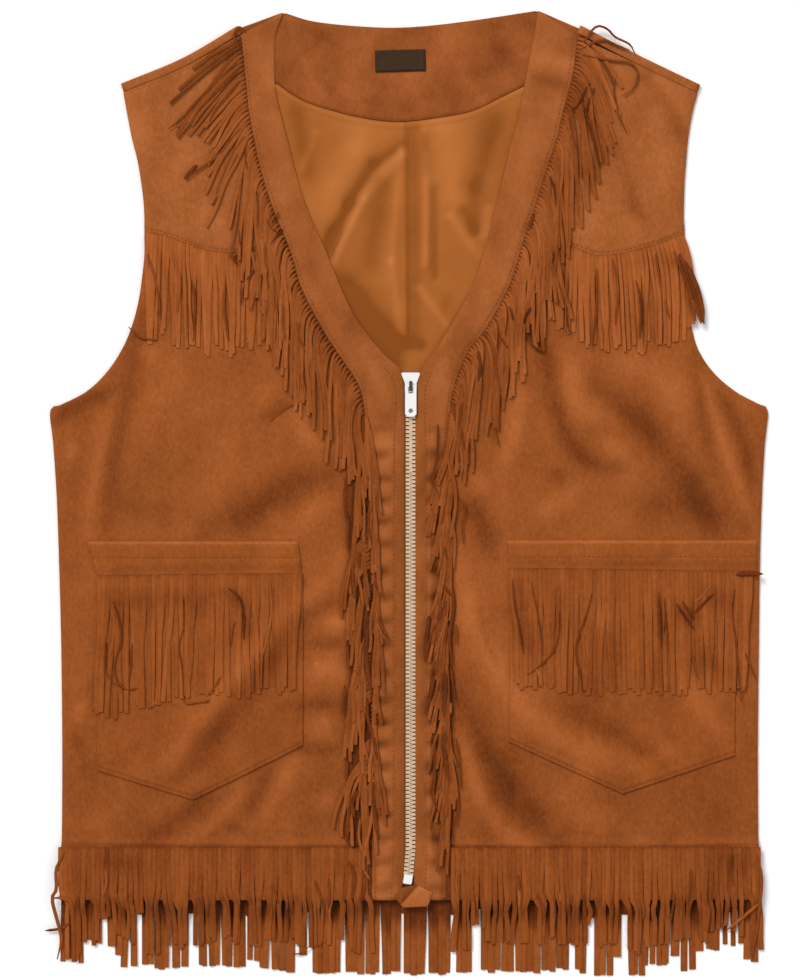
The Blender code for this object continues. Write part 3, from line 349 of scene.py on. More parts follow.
class Strokes:  # soft marks along lines, faded and narrowed towards both ends
    def __init__(self, table):
        parts, self.first = [], []
        for halfWidth, _, _, *line in table:
            curve = denseCurve(np.reshape(line, (-1, 2)), 3)
            along = lengthsAlong(curve) / lengthsAlong(curve)[-1]
            fade = 0.45 + 0.55 * smooth(np.minimum(along, 1 - along) * 4.0)
            marks = np.column_stack([curve, halfWidth * (0.6 + 0.4 * fade), fade])
            self.first.append(len(parts))
            parts += [np.concatenate(pair) for pair in zip(marks[:-1], marks[1:])]
        self.parts = np.array(parts)
        self.amounts = np.array([row[1:3] for row in table], dtype=float)

    def at(self, x, y, column):
        flatX, flatY = np.ravel(x)[:, None], np.ravel(y)[:, None]
        x1, y1, width1, fade1, x2, y2, width2, fade2 = self.parts.T[:, None, :]
        share = ((flatX - x1) * (x2 - x1) + (flatY - y1) * (y2 - y1)) / ((x2 - x1) ** 2 + (y2 - y1) ** 2)
        share = np.clip(share, 0, 1)
        away = np.hypot(flatX - x1 - share * (x2 - x1), flatY - y1 - share * (y2 - y1))
        marks = (fade1 + (fade2 - fade1) * share) * bell(away, width1 + (width2 - width1) * share)
        return (np.maximum.reduceat(marks, self.first, axis=1) @ self.amounts[:, column]).reshape(np.shape(x))


frontStrokes = Strokes(strokes)


def hemStep(y):
    return cloth["hemLift"] * smooth((cloth["stepTop"] - y) / (cloth["stepTop"] - cloth["stepFoot"]))


def frontTop(x, y):
    inset = sideInset(x, y)
    rise = smooth(inset / cloth["pillowWidth"])
    lift = rise * (cloth["pillow"] + foldHeight(x, y, frontFolds)) + smooth(inset / 9.0) * creaseHeight(x, y)
    lift = (lift + np.sqrt(lift**2 + 0.16)) / 2  # never below the back
    return cloth["suede"] + cloth["gap"] + lift + hemStep(y) + cloth["suede"]


def creaseHeight(x, y):
    height = cloth["creaseGain"] * frontStrokes.at(x, y, 0) + 0.30 * unevenness(x, y)
    return np.where(height < 0, -cloth["creaseDepth"] * np.tanh(-height / cloth["creaseDepth"]), height)


# The chain is raised under the slider and runs a little to the left at the hem
chain = {"x": 1.2, "lift": 2.5, "hemShift": 1.6}


def chainMiddle(y):
    lift = smooth((y - 15.0) / 50.0) * (1.0 - smooth((y - 95.0) / 60.0))
    return cloth["suede"] + cloth["gap"] + 1.0 + chain["lift"] * lift + hemStep(y)


def zipX(y):
    return chain["x"] - chain["hemShift"] * smooth((-245.0 - y) / 23.0)


# Meshes

def addObject(name, vertices, faces, finish, tone=None):
    mesh = bpy.data.meshes.new(name)
    mesh.from_pydata((np.array(vertices) * mm).tolist(), [], faces)
    mesh.shade_smooth()
    if tone is not None:
        layer = mesh.attributes.new("tone", "FLOAT", "POINT")
        layer.data.foreach_set("value", np.array(tone, dtype=np.float32))
    mesh.materials.append(finish)
    obj = bpy.data.objects.new(name, mesh)
    bpy.context.scene.collection.objects.link(obj)
    return obj


def edgeDistances(net):
    acrossSteps = np.linalg.norm(np.diff(net[..., :2], axis=1), axis=2)
    downSteps = np.linalg.norm(np.diff(net[..., :2], axis=0), axis=2)
    rows, columns = net.shape[:2]
    across = np.concatenate([np.zeros((rows, 1)), np.cumsum(acrossSteps, axis=1)], axis=1)
    down = np.concatenate([np.zeros((1, columns)), np.cumsum(downSteps, axis=0)], axis=0)
    return {"first": across, "last": across[:, -1:] - across, "top": down, "foot": down[-1:] - down}


# A seam sinks the cloth, a row of stitches presses a groove beside a low welt, and ripples fade inwards
edgeLook = {
    "seamWidth": 1.5, "groove": 0.34, "grooveWidth": 0.75, "welt": 0.12, "weltAway": 1.8, "rippleReach": 9.0,
}


def workEdges(net, edges):  # sinks each edge into its seam, with a stitched groove and small puckers
    distances = edgeDistances(net)
    for name, work in edges.items():
        d = distances[name]
        z = -work.get("dip", 0.5) * bell(d, edgeLook["seamWidth"])
        for groove in work.get("grooves", ()):
            z = z - edgeLook["groove"] * bell(d - groove, edgeLook["grooveWidth"])
            z = z + edgeLook["welt"] * bell(d - groove - edgeLook["weltAway"], 1.0)
        ripple = work.get("ripple", 0.0)
        if ripple:
            run = net[..., 1] if name in ("first", "last") else net[..., 0]
            other = net[..., 0] if name in ("first", "last") else net[..., 1]
            wave = np.sin(run / 2.1 + 1.7 * np.sin(run / 17.0)) + 0.7 * np.sin(run / 3.3 + other / 9.0)
            z = z + ripple * wave * bell(d, edgeLook["rippleReach"])
        net[..., 2] += z
    return net


def borderOf(rows, columns):  # the points around a net, in order
    border = [(0, i) for i in range(columns)] + [(j, columns - 1) for j in range(1, rows)]
    border += [(rows - 1, i) for i in range(columns - 2, -1, -1)] + [(j, 0) for j in range(rows - 2, 0, -1)]
    return np.array([j * columns + i for j, i in border])


def quadsOf(rows, columns):
    grid = np.arange(rows * columns).reshape(rows, columns)
    corners = grid[:-1, :-1], grid[:-1, 1:], grid[1:, 1:], grid[1:, :-1]
    return np.column_stack([corner.ravel() for corner in corners])


def shell(name, top, thick, finish, tone=None, flatUnder=None):
    rows, columns = top.shape[:2]
    under = top.copy()
    under[..., 2] -= thick
    if flatUnder is not None:
        under[..., 2] = flatUnder(under[..., 0], under[..., 1])
    ring = borderOf(rows, columns)
    topFlat, underFlat = top.reshape(-1, 3), under.reshape(-1, 3)
    rim = (topFlat[ring] + underFlat[ring]) / 2
    along = np.roll(rim, -1, axis=0) - np.roll(rim, 1, axis=0)
    out = np.column_stack([along[:, 1], -along[:, 0], 0 * along[:, 0]])
    out /= np.maximum(np.linalg.norm(out, axis=1)[:, None], 1e-6)
    area = 0.5 * np.sum(rim[:, 0] * np.roll(rim[:, 1], -1) - np.roll(rim[:, 0], -1) * rim[:, 1])
    rim += out * 0.28 * thick * np.sign(area)
    count = rows * columns
    vertices = np.concatenate([topFlat, underFlat, rim])
    upward = quadsOf(rows, columns)[:, ::1 if area > 0 else -1]
    faces = upward.tolist() + (upward[:, ::-1] + count).tolist()
    k = np.arange(len(ring))
    after = np.roll(k, -1)
    wall = np.column_stack([ring[k], 2 * count + k, 2 * count + after, ring[after]])
    lower = np.column_stack([2 * count + k, ring[k] + count, ring[after] + count, 2 * count + after])
    if area < 0:
        wall, lower = wall[:, ::-1], lower[:, ::-1]
    faces += wall.tolist() + lower.tolist()
    tones = None
    if tone is not None:
        flat = np.ravel(tone)
        tones = np.concatenate([flat, flat, flat[ring]])
    return addObject(name, vertices, faces, finish, tones)


def napAndPaintedShade(x, y):
    # Lighter towards the top and darker towards the bottom, uneven nap tone, and the strokes' tone: painted
    # light and shade along the creases, and brushed nap
    broad = 0.08 * smooth((y - 120.0) / 130.0) - 0.17 * smooth((-90.0 - y) / 150.0)
    fine = 0.04 * unevenness(x * 1.3, y * 0.8 + 40)
    return broad + fine + frontStrokes.at(x, y, 1)


fringeColumn = {
    # how far the straight fringe reaches from the band's seam: over the band, away from it
    "left": (-5.0, 19.0), "right": (-13.0, 8.0),
}


def underFringe(side, x, y):  # shade between the strands and their roots
    seam = denseSeams[side][::-1]
    away = distanceTo(seam[::3], x, y)
    column = smooth((40.0 - y) / 44.0) * smooth((y + 262.0) / 16.0)
    reach = np.abs(x) - np.abs(np.interp(y, seam[:, 1], seam[:, 0]))
    low, high = fringeColumn[side]
    inColumn = smooth((reach - low) / 5.0) * smooth((high - reach) / 5.0)
    return -0.5 * np.exp(-((away / 5.0) ** 4)) * (1 - column) - 0.7 * inColumn * column


# Materials

class Link:  # a socket that can be reckoned with
    def __init__(self, finish, socket):
        self.finish = finish
        self.socket = socket

    def maths(self, operation, first, second):
        return self.finish.add("ShaderNodeMath", {"operation": operation}, {0: first, 1: second})

    def __add__(self, other):
        return self.maths("ADD", self, other)

    def __radd__(self, other):
        return self.maths("ADD", other, self)

    def __sub__(self, other):
        return self.maths("SUBTRACT", self, other)

    def __rsub__(self, other):
        return self.maths("SUBTRACT", other, self)

    def __mul__(self, other):
        return self.maths("MULTIPLY", self, other)

    def __rmul__(self, other):
        return self.maths("MULTIPLY", other, self)


class Finish:  # one material and its nodes
    def __init__(self, name, **constants):
        self.material = bpy.data.materials.new(name)
        self.material.use_nodes = True
        self.tree = self.material.node_tree
        self.shader = self.tree.nodes["Principled BSDF"]
        for socket, value in constants.items():
            self.shader.inputs[socket.replace("_", " ")].default_value = value

    def add(self, kind, settings=None, values=None, output=0):
        node = self.tree.nodes.new(kind)
        for name, value in (settings or {}).items():
            if name == "stops":
                self.setStops(node.color_ramp, value)
            else:
                setattr(node, name, value)
        for name, value in (values or {}).items():
            self.feed(node.inputs[name], value)
        return Link(self, node.outputs[output])

    def setStops(self, ramp, stops):
        while len(ramp.elements) < len(stops):
            ramp.elements.new(0.5)
        for element, (place, colour) in zip(ramp.elements, stops):
            element.position = place
            element.color = (*colour, 1.0)

    def feed(self, socket, value):
        if isinstance(value, Link):
            self.tree.links.new(value.socket, socket)
        else:
            socket.default_value = value

    def set(self, **values):
        for name, value in values.items():
            self.feed(self.shader.inputs[name.replace("_", " ")], value)

    def place(self):
        return self.add("ShaderNodeTexCoord", output=3)

    def stretched(self, place, scale, turn=0.0):
        settings = {"vector_type": "POINT"}
        values = {"Vector": place, "Scale": scale, "Rotation": (0.0, 0.0, turn)}
        return self.add("ShaderNodeMapping", settings, values)

    def noise(self, place, scale, detail=2.0, roughness=0.5):
        values = {"Vector": place, "Scale": scale, "Detail": detail, "Roughness": roughness}
        return self.add("ShaderNodeTexNoise", {}, values)

    def ramp(self, value, stops):
        return self.add("ShaderNodeValToRGB", {"stops": stops}, {0: value})

    def mix(self, share, first, second):
        settings = {"data_type": "RGBA"}
        return self.add("ShaderNodeMix", settings, {0: share, 6: first, 7: second}, output=2)

    def tone(self):
        return self.add("ShaderNodeAttribute", {"attribute_name": "tone"}, output=2)

    def bump(self, height, strength, distance):
        values = {"Height": height, "Strength": strength, "Distance": distance}
        return self.add("ShaderNodeBump", {}, values)


suedeLook = {
    "sheen": 0.12, "bump": 0.35,
    "clouds": 0.14, "patches": 0.34,  # broad brushed marks
    "flecks": 0.72, "fibres": 0.45,  # small nap marks
}
satinLook = {"clouds": 0.45, "threads": 0.22, "weft": 0.16, "roughness": 0.52}
suedeShades = [
    # place, red, green and blue against the colour, for the tone's darks and lights, which carry both the
    # nap's random tone and painted light and shade: dark is redder, light is yellower
    (0.0, 0.26, 0.20, 0.14), (0.25, 0.60, 0.53, 0.42), (0.5, 1.0, 1.0, 1.0), (0.75, 1.40, 1.52, 1.95),
    (1.0, 1.75, 2.0, 2.9),
]


def scaled(colour, factors):
    return tuple(min(c * k, 1.0) for c, k in zip(colour, factors))


def shadesOf(colour, dark, light):
    return [scaled(colour, factors) for factors in (dark, (1, 1, 1), light)]


def makeSuede(name, colour, flecks=1.0):
    look = suedeLook
    sheenTint = (0.9, 0.42, 0.18, 1.0)
    finish = Finish(name, Sheen_Weight=look["sheen"], Sheen_Roughness=0.45, Sheen_Tint=sheenTint)
    finish.shader.inputs["Specular IOR Level"].default_value = 0.10
    place = finish.place()
    clouds = finish.noise(place, 22.0, 3.0, 0.5)
    patches = finish.noise(finish.stretched(place, (1.0, 0.7, 1.0), 0.5), 105.0, 3.0, 0.6)
    nap = finish.noise(finish.stretched(place, (1.0, 0.62, 1.0), 0.2), 420.0, 3.0, 0.65)
    fibre = finish.noise(finish.stretched(place, (1.0, 0.3, 1.0), -0.35), 1500.0, 2.0, 0.6)
    mottle = (clouds - 0.5) * look["clouds"] + (patches - 0.5) * look["patches"]
    mottle = mottle + (nap - 0.5) * (look["flecks"] * flecks) + (fibre - 0.5) * (look["fibres"] * flecks)
    shade = (finish.tone() + mottle) * 0.5 + 0.5
    colourNow = finish.ramp(shade, [(at, scaled(colour, factors)) for at, *factors in suedeShades])
    height = fibre * 0.5 + nap + patches * 0.8
    bump = finish.bump(height, look["bump"], 0.0006)
    finish.set(Base_Color=colourNow, Roughness=0.96 - nap * 0.16, Normal=bump)
    return finish.material


def makeSatin(name, colour):
    finish = Finish(name, Anisotropic=0.2)
    finish.shader.inputs["Specular IOR Level"].default_value = 0.12
    finish.shader.inputs["Specular Tint"].default_value = (1.0, 0.72, 0.42, 1.0)
    place = finish.place()
    clouds = finish.noise(place, 30.0, 2.0, 0.5)
    threads = finish.noise(finish.stretched(place, (1.0, 0.08, 1.0)), 2600.0, 1.0, 0.5)
    weft = finish.noise(finish.stretched(place, (0.08, 1.0, 1.0)), 2600.0, 1.0, 0.5)
    look = satinLook
    shade = finish.tone() + (clouds - 0.5) * look["clouds"] + (threads - 0.5) * look["threads"]
    shade = shade + (weft - 0.5) * look["weft"] + 0.5
    low, middle, high = shadesOf(colour, (0.66, 0.58, 0.42), (1.3, 1.36, 1.6))
    colourNow = finish.ramp(shade, [(0.0, low), (0.5, middle), (1.0, high)])
    bump = finish.bump(threads + weft, 0.12, 0.0003)
    finish.set(Base_Color=colourNow, Roughness=look["roughness"] - threads * 0.14, Normal=bump)
    return finish.material


def makeWoven(name, colour, pitch, light=1.7, dark=0.6):
    finish = Finish(name)
    finish.shader.inputs["Specular IOR Level"].default_value = 0.25
    place = finish.place()
    values = {"Vector": place, "Scale": 0.16 / pitch}
    warp, weft = [
        finish.add("ShaderNodeTexWave", {"wave_type": "BANDS", "bands_direction": way}, values, output=1)
        for way in "XY"
    ]
    fluff = finish.noise(place, 900.0, 2.0, 0.6)
    weave = warp * 0.5 + weft * 0.5
    low, middle, high = shadesOf(colour, (dark,) * 3, (light,) * 3)
    colourNow = finish.ramp(weave * 0.6 + fluff * 0.4, [(0.1, low), (0.5, middle), (0.95, high)])
    bump = finish.bump(weave + fluff * 0.5, 0.4, 0.0004)
    finish.set(Base_Color=colourNow, Roughness=0.9 - fluff * 0.2, Normal=bump)
    return finish.material


def makeMetal(name, colour, roughness=0.22, wear=0.3, metallic=1.0):
    finish = Finish(name, Metallic=metallic)
    place = finish.place()
    smudge = finish.noise(place, 190.0, 3.0, 0.6)
    scratches = finish.noise(finish.stretched(place, (1.0, 0.05, 1.0), 0.4), 2400.0, 2.0, 0.5)
    low, middle, high = shadesOf(colour, (1.0 - wear,) * 3, (1.08,) * 3)
    colourNow = finish.ramp(smudge, [(0.25, low), (0.5, middle), (0.75, high)])
    bump = finish.bump(scratches, 0.06, 0.0002)
    finish.set(Base_Color=colourNow, Roughness=smudge * 0.2 + (roughness - 0.1), Normal=bump)
    return finish.material


# One suede in several copies, each a little lighter or darker: partly the nap's direction on each piece,
# partly painted light and shade for how light falls on it
suedeFront = makeSuede("suedeFront", (0.278, 0.0725, 0.0136))
suedeYoke = makeSuede("suedeYoke", (0.312, 0.088, 0.0195))
suedeBand = makeSuede("suedeBand", (0.292, 0.081, 0.0172), flecks=0.7)
suedePocket = makeSuede("suedePocket", (0.270, 0.0690, 0.0122))
suedeFacing = makeSuede("suedeFacing", (0.292, 0.078, 0.0165), flecks=0.8)
suedeBack = makeSuede("suedeBack", (0.278, 0.0725, 0.0136))
fringeSuede = makeSuede("fringeSuede", (0.275, 0.0690, 0.0120), flecks=0.8)
fringeDark = makeSuede("fringeDark", (0.262, 0.0660, 0.0118), flecks=0.8)
liningSatin = makeSatin("liningSatin", (0.352, 0.107, 0.0215))
labelWeave = makeWoven("labelWeave", (0.047, 0.019, 0.0050), 0.8, 1.9)
tapeWeave = makeWoven("tapeWeave", (0.300, 0.110, 0.040), 0.7, 1.4)
seamThread = makeWoven("seamThread", (0.262, 0.066, 0.0125), 0.5, 1.2, 0.85)
teethMetal = makeMetal("teethMetal", (0.72, 0.53, 0.36), 0.45, 0.12, 0.5)
sliderMetal = makeMetal("sliderMetal", (0.97, 0.97, 0.97), 0.3, 0.04, 0.4)
# Dark metal on the slider's crown: painted shade for the hollow under the crown
crownShadeMetal = makeMetal("crownShadeMetal", (0.10, 0.10, 0.11), 0.35, 0.2)
print("materials made")


# Stitches: short threads that dip into the cloth at both ends

stitchLook = {"length": 2.5, "gap": 0.7, "radius": 0.22, "sink": 0.24}
stitchLines = {}


def pointsOnNet(net, edge, distance, trim=(0.0, 1.0)):  # a line on the net beside one of its edges
    d = edgeDistances(net)[edge]
    rows = range(net.shape[0]) if edge in ("first", "last") else range(net.shape[1])
    found = []
    for k in rows:
        line, away = (net[k], d[k]) if edge in ("first", "last") else (net[:, k], d[:, k])
        if away[0] > away[-1]:
            line, away = line[::-1], away[::-1]
        found.append([np.interp(distance, away, line[:, axis]) for axis in range(3)])
    found = np.array(found)
    low, high = int(trim[0] * (len(found) - 1)), int(trim[1] * (len(found) - 1))
    return found[low:high + 1]


def sew(group, line):
    stitchLines.setdefault(group, []).append(line)


def tubeRings(path, radiusX, radiusZ, sides):
    ahead = np.gradient(path, axis=0)
    ahead /= np.maximum(np.linalg.norm(ahead, axis=1)[:, None], 1e-9)
    side = np.cross([0.0, 0.0, 1.0], ahead)
    side /= np.maximum(np.linalg.norm(side, axis=1)[:, None], 1e-9)
    up = np.cross(ahead, side)
    rings = []
    for k in range(sides):
        turn = 2 * math.pi * k / sides
        across, lift = radiusX * math.cos(turn), radiusZ * math.sin(turn)
        rings.append(path + side * across[:, None] + up * lift[:, None])
    return np.stack(rings, axis=1)


def ringFaces(rings, start, sides):  # quads between rings and a cap at each end
    faces = []
    for j in range(rings - 1):
        for k in range(sides):
            after = (k + 1) % sides
            low, high = start + j * sides, start + (j + 1) * sides
            faces.append((low + k, low + after, high + after, high + k))
    faces.append(tuple(start + k for k in reversed(range(sides))))
    faces.append(tuple(start + (rings - 1) * sides + k for k in range(sides)))
    return faces


def makeStitches(name, lines, finish):
    look = stitchLook
    vertices, faces = [], []
    swell = np.array([0.45, 1.0, 1.0, 0.45]) * look["radius"]
    lift = np.array([-look["sink"], 0.16, 0.16, -look["sink"]])
    for line in lines:
        lengths = lengthsAlong(line)
        place = 0.4
        while place + look["length"] < lengths[-1]:
            spots = place + np.array([0.0, 0.22, 0.78, 1.0]) * look["length"]
            path = np.column_stack([np.interp(spots, lengths, line[:, k]) for k in range(3)])
            path[:, 2] += lift
            faces += ringFaces(4, len(vertices), 6)
            vertices += tubeRings(path, swell, swell * 0.8, 6).reshape(-1, 3).tolist()
            place += look["length"] + look["gap"]
    return addObject(name, vertices, faces, finish)


def declare(piece, body, node=None, cut=None, area=None):
    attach(piece, body)
    if node:
        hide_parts(*([node] if isinstance(node, str) else node))
    if cut:
        flat = (cut[0] * mm, cut[1] * mm)
        area = area * mm * mm if area else None


def netArea(net):
    a = net[1:, 1:, :2] - net[:-1, :-1, :2]
    b = net[1:, :-1, :2] - net[:-1, 1:, :2]
    return float(np.abs(a[..., 0] * b[..., 1] - a[..., 1] * b[..., 0]).sum() / 2)


def boxSize(net):
    flat = net.reshape(-1, net.shape[-1])
    return float(np.ptp(flat[:, 0])), float(np.ptp(flat[:, 1]))


# Fronts and yokes

frontWork = {
    "yoke": {
        "first": {"dip": 0.7, "grooves": (5.5,), "ripple": 0.06},
        "last": {"dip": 0.5, "ripple": 0.10},
        "foot": {"dip": 0.5, "grooves": (2.2,), "ripple": 0.14},
        "top": {"dip": 0.22, "grooves": (2.4,), "ripple": 0.05},
    },
    "front": {
        "first": {"dip": 0.7, "ripple": 0.12},
        "last": {"dip": 0.5, "ripple": 0.14},
        "top": {"dip": 0.6, "ripple": 0.10},
        "foot": {"dip": 0.4},
    },
}


def yokeSeam(side):
    row = sections[side][yokeRow]
    shares = np.linspace(0, 1, 60)
    line = row[0:2] + (row[2:4] - row[0:2]) * shares[:, None]
    dip = np.array(yokeDip)
    dips = denseCurve(dip[:, [0, 1 if side == "left" else 2]])
    line[:, 1] += np.interp(shares, dips[:, 0], dips[:, 1])
    return line


def outwardNormal(side):
    along = np.array(shoulder[side][2]) - np.array(shoulder[side][0])
    along /= np.hypot(*along)
    outward = np.array([-along[1], along[0]])
    return outward * np.sign(outward[1])


wrap = {"depth": 6.4, "turns": 9}


def withHeight(net, height):
    return np.concatenate([net, height(net[..., 0], net[..., 1])[..., None]], axis=2)


def makeYoke(side):
    cut = yokeRow * perRow
    bend = np.array(shoulder[side][1]) - outwardNormal(side) * (wrap["depth"] + cloth["gap"])
    rows = sections[side]
    top = denseCurve([rows[0][0:2], bend, rows[0][2:4]])
    foot = yokeSeam(side)
    first, last = denseSides[side][:cut + 1], denseSeams[side][:cut + 1]
    downShares, acrossShares = netShares(lengthsAlong(first)[-1]), netShares(lengthsAlong(foot)[-1])
    net = sampledNet(top, foot, first, last, acrossShares, downShares)
    net[-1, :, 1] += cloth["gap"] / 2
    net[:, -1, 0] += outwards[side] * cloth["gap"] / 2
    size, area = boxSize(net), netArea(net)
    net = workEdges(withHeight(net, frontTop), frontWork["yoke"])
    sew("suede", pointsOnNet(net, "foot", 2.2))
    x, y = net[..., 0], net[..., 1]
    tone = napAndPaintedShade(x, y) + underFringe(side, x, y)
    obj = shell("yoke" + side.title(), net, cloth["suede"], suedeYoke, tone)
    declare(obj, "vest", "front_yoke_" + side, size, area)


def makeFront(side):
    cut = yokeRow * perRow
    rows = sections[side]
    top = yokeSeam(side)
    first, last = denseSides[side][cut:], denseSeams[side][cut:]
    foot = denseCurve([rows[-1][0:2], (rows[-1][0:2] + rows[-1][2:4]) / 2, rows[-1][2:4]])
    downShares, acrossShares = netShares(lengthsAlong(last)[-1]), netShares(lengthsAlong(foot)[-1])
    net = sampledNet(top, foot, first, last, acrossShares, downShares)
    net[0, :, 1] -= cloth["gap"] / 2
    net[:, -1, 0] += outwards[side] * cloth["gap"] / 2
    size, area = boxSize(net), netArea(net)
    net = workEdges(withHeight(net, frontTop), frontWork["front"])
    x, y = net[..., 0], net[..., 1]
    ridge = bell(y - cloth["hemRidge"], 1.5)  # the hem seam, turned up above the fringe
    groove = bell(y - cloth["hemGroove"], 1.1)
    net[..., 2] += 0.55 * ridge - 0.5 * groove
    # A painted highlight on the hem seam's ridge and painted shade in its groove
    tone = napAndPaintedShade(x, y) + underFringe(side, x, y) + 0.10 * ridge - 0.35 * groove
    obj = shell("front" + side.title(), net, cloth["suede"], suedeFront, tone)
    declare(obj, "vest", "front_panel_" + side, size, area)


# Bands: a folded strip from the neck down the V and the zip

bandLook = {"crown": 0.35, "seamStitch": 2.4, "zipStitch": 7.4, "puckerShading": 0.28}
bandShades = [
    # x1, y1, x2, y2, halfWidth, tone
    (92, 303, 110, 299, 7, 0.40), (88, 290, 110, 284, 4, -0.24), (-111, 314, -105, 312, 6, 0.24),
    (92, 272, 102, 264, 4, 0.16), (-100, 276, -94, 272, 6, -0.14), (-92, 248, -88, 232, 6, 0.14),
    (-66, 150, -40, 120, 8, -0.16), (-104, 300, -98, 288, 6, 0.16), (24, 90, 16, 70, 5, 0.16),
    (-24, 88, -16, 60, 5, 0.16), (-20, 36, -14, 34, 7, 0.30),
]


def bandCurves(side, step):
    inner, seam = denseInners[side], denseSeams[side]
    middle = (inner + seam) / 2
    lengths = lengthsAlong(middle)
    shares = netShares(lengths[-1], step=step)
    places = np.interp(shares * lengths[-1], lengths, np.arange(len(middle)))
    index = np.arange(len(middle))
    return [np.column_stack([np.interp(places, index, c[:, k]) for k in range(2)]) for c in (inner, seam)]


def puckerPhase(y):
    return 2 * math.pi * y / puckers["pitch"] + 0.9 * np.sin(y / 31.0) + 0.5 * np.sin(y / 12.0 + 1.0)


def puckerReach(share):  # from the middle of a band to its seam
    return np.sin(math.pi * np.clip((share - 0.30) / 0.68, 0, 1)) ** 0.6


def puckerShape(phase):  # broad pillows with narrow troughs between
    return 1.0 - 2.0 * ((1.0 - np.sin(phase)) / 2.0) ** 2.4


def bandHeight(inner, seam, share, raw=False):  # underside of a band, from its zip edge to its seam
    atZip = chainMiddle(inner[..., 1]) + cloth["trim"] / 2 + cloth["gap"]
    atSeam = frontTop(seam[..., 0], seam[..., 1]) - cloth["suede"]
    y = inner[..., 1] + (seam[..., 1] - inner[..., 1]) * share
    z = atZip + (atSeam - atZip) * share
    if raw:
        return z
    fade = smooth((60.0 - y) / 40.0) * smooth((y + 244.0) / 24.0)
    wide = puckerReach(share)
    ripple = puckerShape(puckerPhase(y) + 0.8 * share) * wide * (puckers["height"] + 0.25 * np.sin(y / 43.0))
    small = np.sin(y / 1.9 + 3.0 * np.sin(y / 23.0)) * 0.12 * bell(share - 0.9, 0.16)
    neckRipple = 0.35 * np.sin(y / 5.3 + 1.4 * np.sin(y / 19.0)) * wide * smooth((y - 70.0) / 60.0) * 0.6
    return z + ripple * fade + puckers["height"] * share * (1 - share) * fade + small + neckRipple


def makeBand(side):
    inner, seam = bandCurves(side, 2.2)
    shares = netShares(22.0, step=1.7)
    net = np.zeros((len(inner), len(shares), 3))
    for k, share in enumerate(shares):
        net[:, k, :2] = inner + (seam - inner) * share
        net[:, k, 2] = bandHeight(inner, seam, share) + cloth["suede"]
        net[:, k, 2] += bandLook["crown"] * math.sin(math.pi * share)
    net[:, -1, 0] -= outwards[side] * cloth["gap"] / 2
    area = 0.99 * netArea(net)
    work = {
        "first": {"dip": 0.5, "grooves": (bandLook["zipStitch"],), "ripple": 0.05},
        "last": {"dip": 0.6, "grooves": (bandLook["seamStitch"],), "ripple": 0.12},
        "top": {"dip": 0.4},
        "foot": {"dip": 0.4},
    }
    net = workEdges(net, work)
    sew("suede", pointsOnNet(net, "first", bandLook["zipStitch"], (0.42, 1.0)))
    sew("suede", pointsOnNet(net, "last", bandLook["seamStitch"]))
    x, y = net[..., 0], net[..., 1]
    acrossShare = shares[None, :]
    straight = smooth((60.0 - y) / 40.0)
    pucker = puckerShape(puckerPhase(y) + 0.8 * acrossShare) - 0.3
    # Painted light on the puckers' tops and painted shade in their troughs
    tone = bandLook["puckerShading"] * pucker * puckerReach(acrossShare) * straight
    tone += 0.07 * unevenness(x * 1.5, y) - 0.14 * straight * smooth((0.36 - acrossShare) / 0.06)
    # Painted shade under the column of fringe strands
    shadeUnderStrands = np.minimum(underFringe(side, x, y) + 0.2, 0.0) * smooth((30.0 - y) / 30.0)
    tone += 0.10 * smooth((y - 110.0) / 40.0) - 0.01 + foldHeight(x, y, bandShades) + shadeUnderStrands
    # At the band's foot: lighter from y -274, then painted shade below y -281 near the hem
    tone += 0.25 * smooth((-274.0 - y) / 3.0) - 0.5 * smooth((-281.0 - y) / 3.0)
    obj = shell("band" + side.title(), net, cloth["suede"], suedeBand, tone)
    length = lengthsAlong((inner + seam) / 2)[-1]
    size = (area / length, length)
    declare(obj, "vest", "front_band_" + side, size, area)


def makeTape(side):
    inner, seam = bandCurves(side, 4.0)
    keep = (inner[:, 1] < 87.0) & (inner[:, 1] > -268.0)
    inner, seam = inner[keep], seam[keep]
    net = np.zeros((len(inner), 5, 3))
    width = np.abs(seam[:, 0] - inner[:, 0])
    nearChain = np.where(inner[:, 1] < 66.0, zipX(inner[:, 1]) + outwards[side] * 3.3, inner[:, 0])
    for k, distance in enumerate(np.linspace(0.0, 9.0, 5)):
        share = distance / width
        net[:, k, 1] = inner[:, 1] + (seam[:, 1] - inner[:, 1]) * share
        far = inner[:, 0] + outwards[side] * distance
        net[:, k, 0] = nearChain + (far - nearChain) * min(distance / 3.0, 1.0)
        net[:, k, 2] = bandHeight(inner, seam, share, raw=True) - cloth["gap"] - 0.1
    obj = shell("zipTape" + side.title(), net, cloth["trim"], tapeWeave)
    declare(obj, "vest", "zip_tape_" + side)


cornerFold = [
    # the hem's lining side, turned out at the foot of the zip: x, y of its outline from the left corner
    (-10, -282), (-6, -275.6), (5.5, -273.6), (16.2, -279), (13, -288.2), (-4, -289),
]


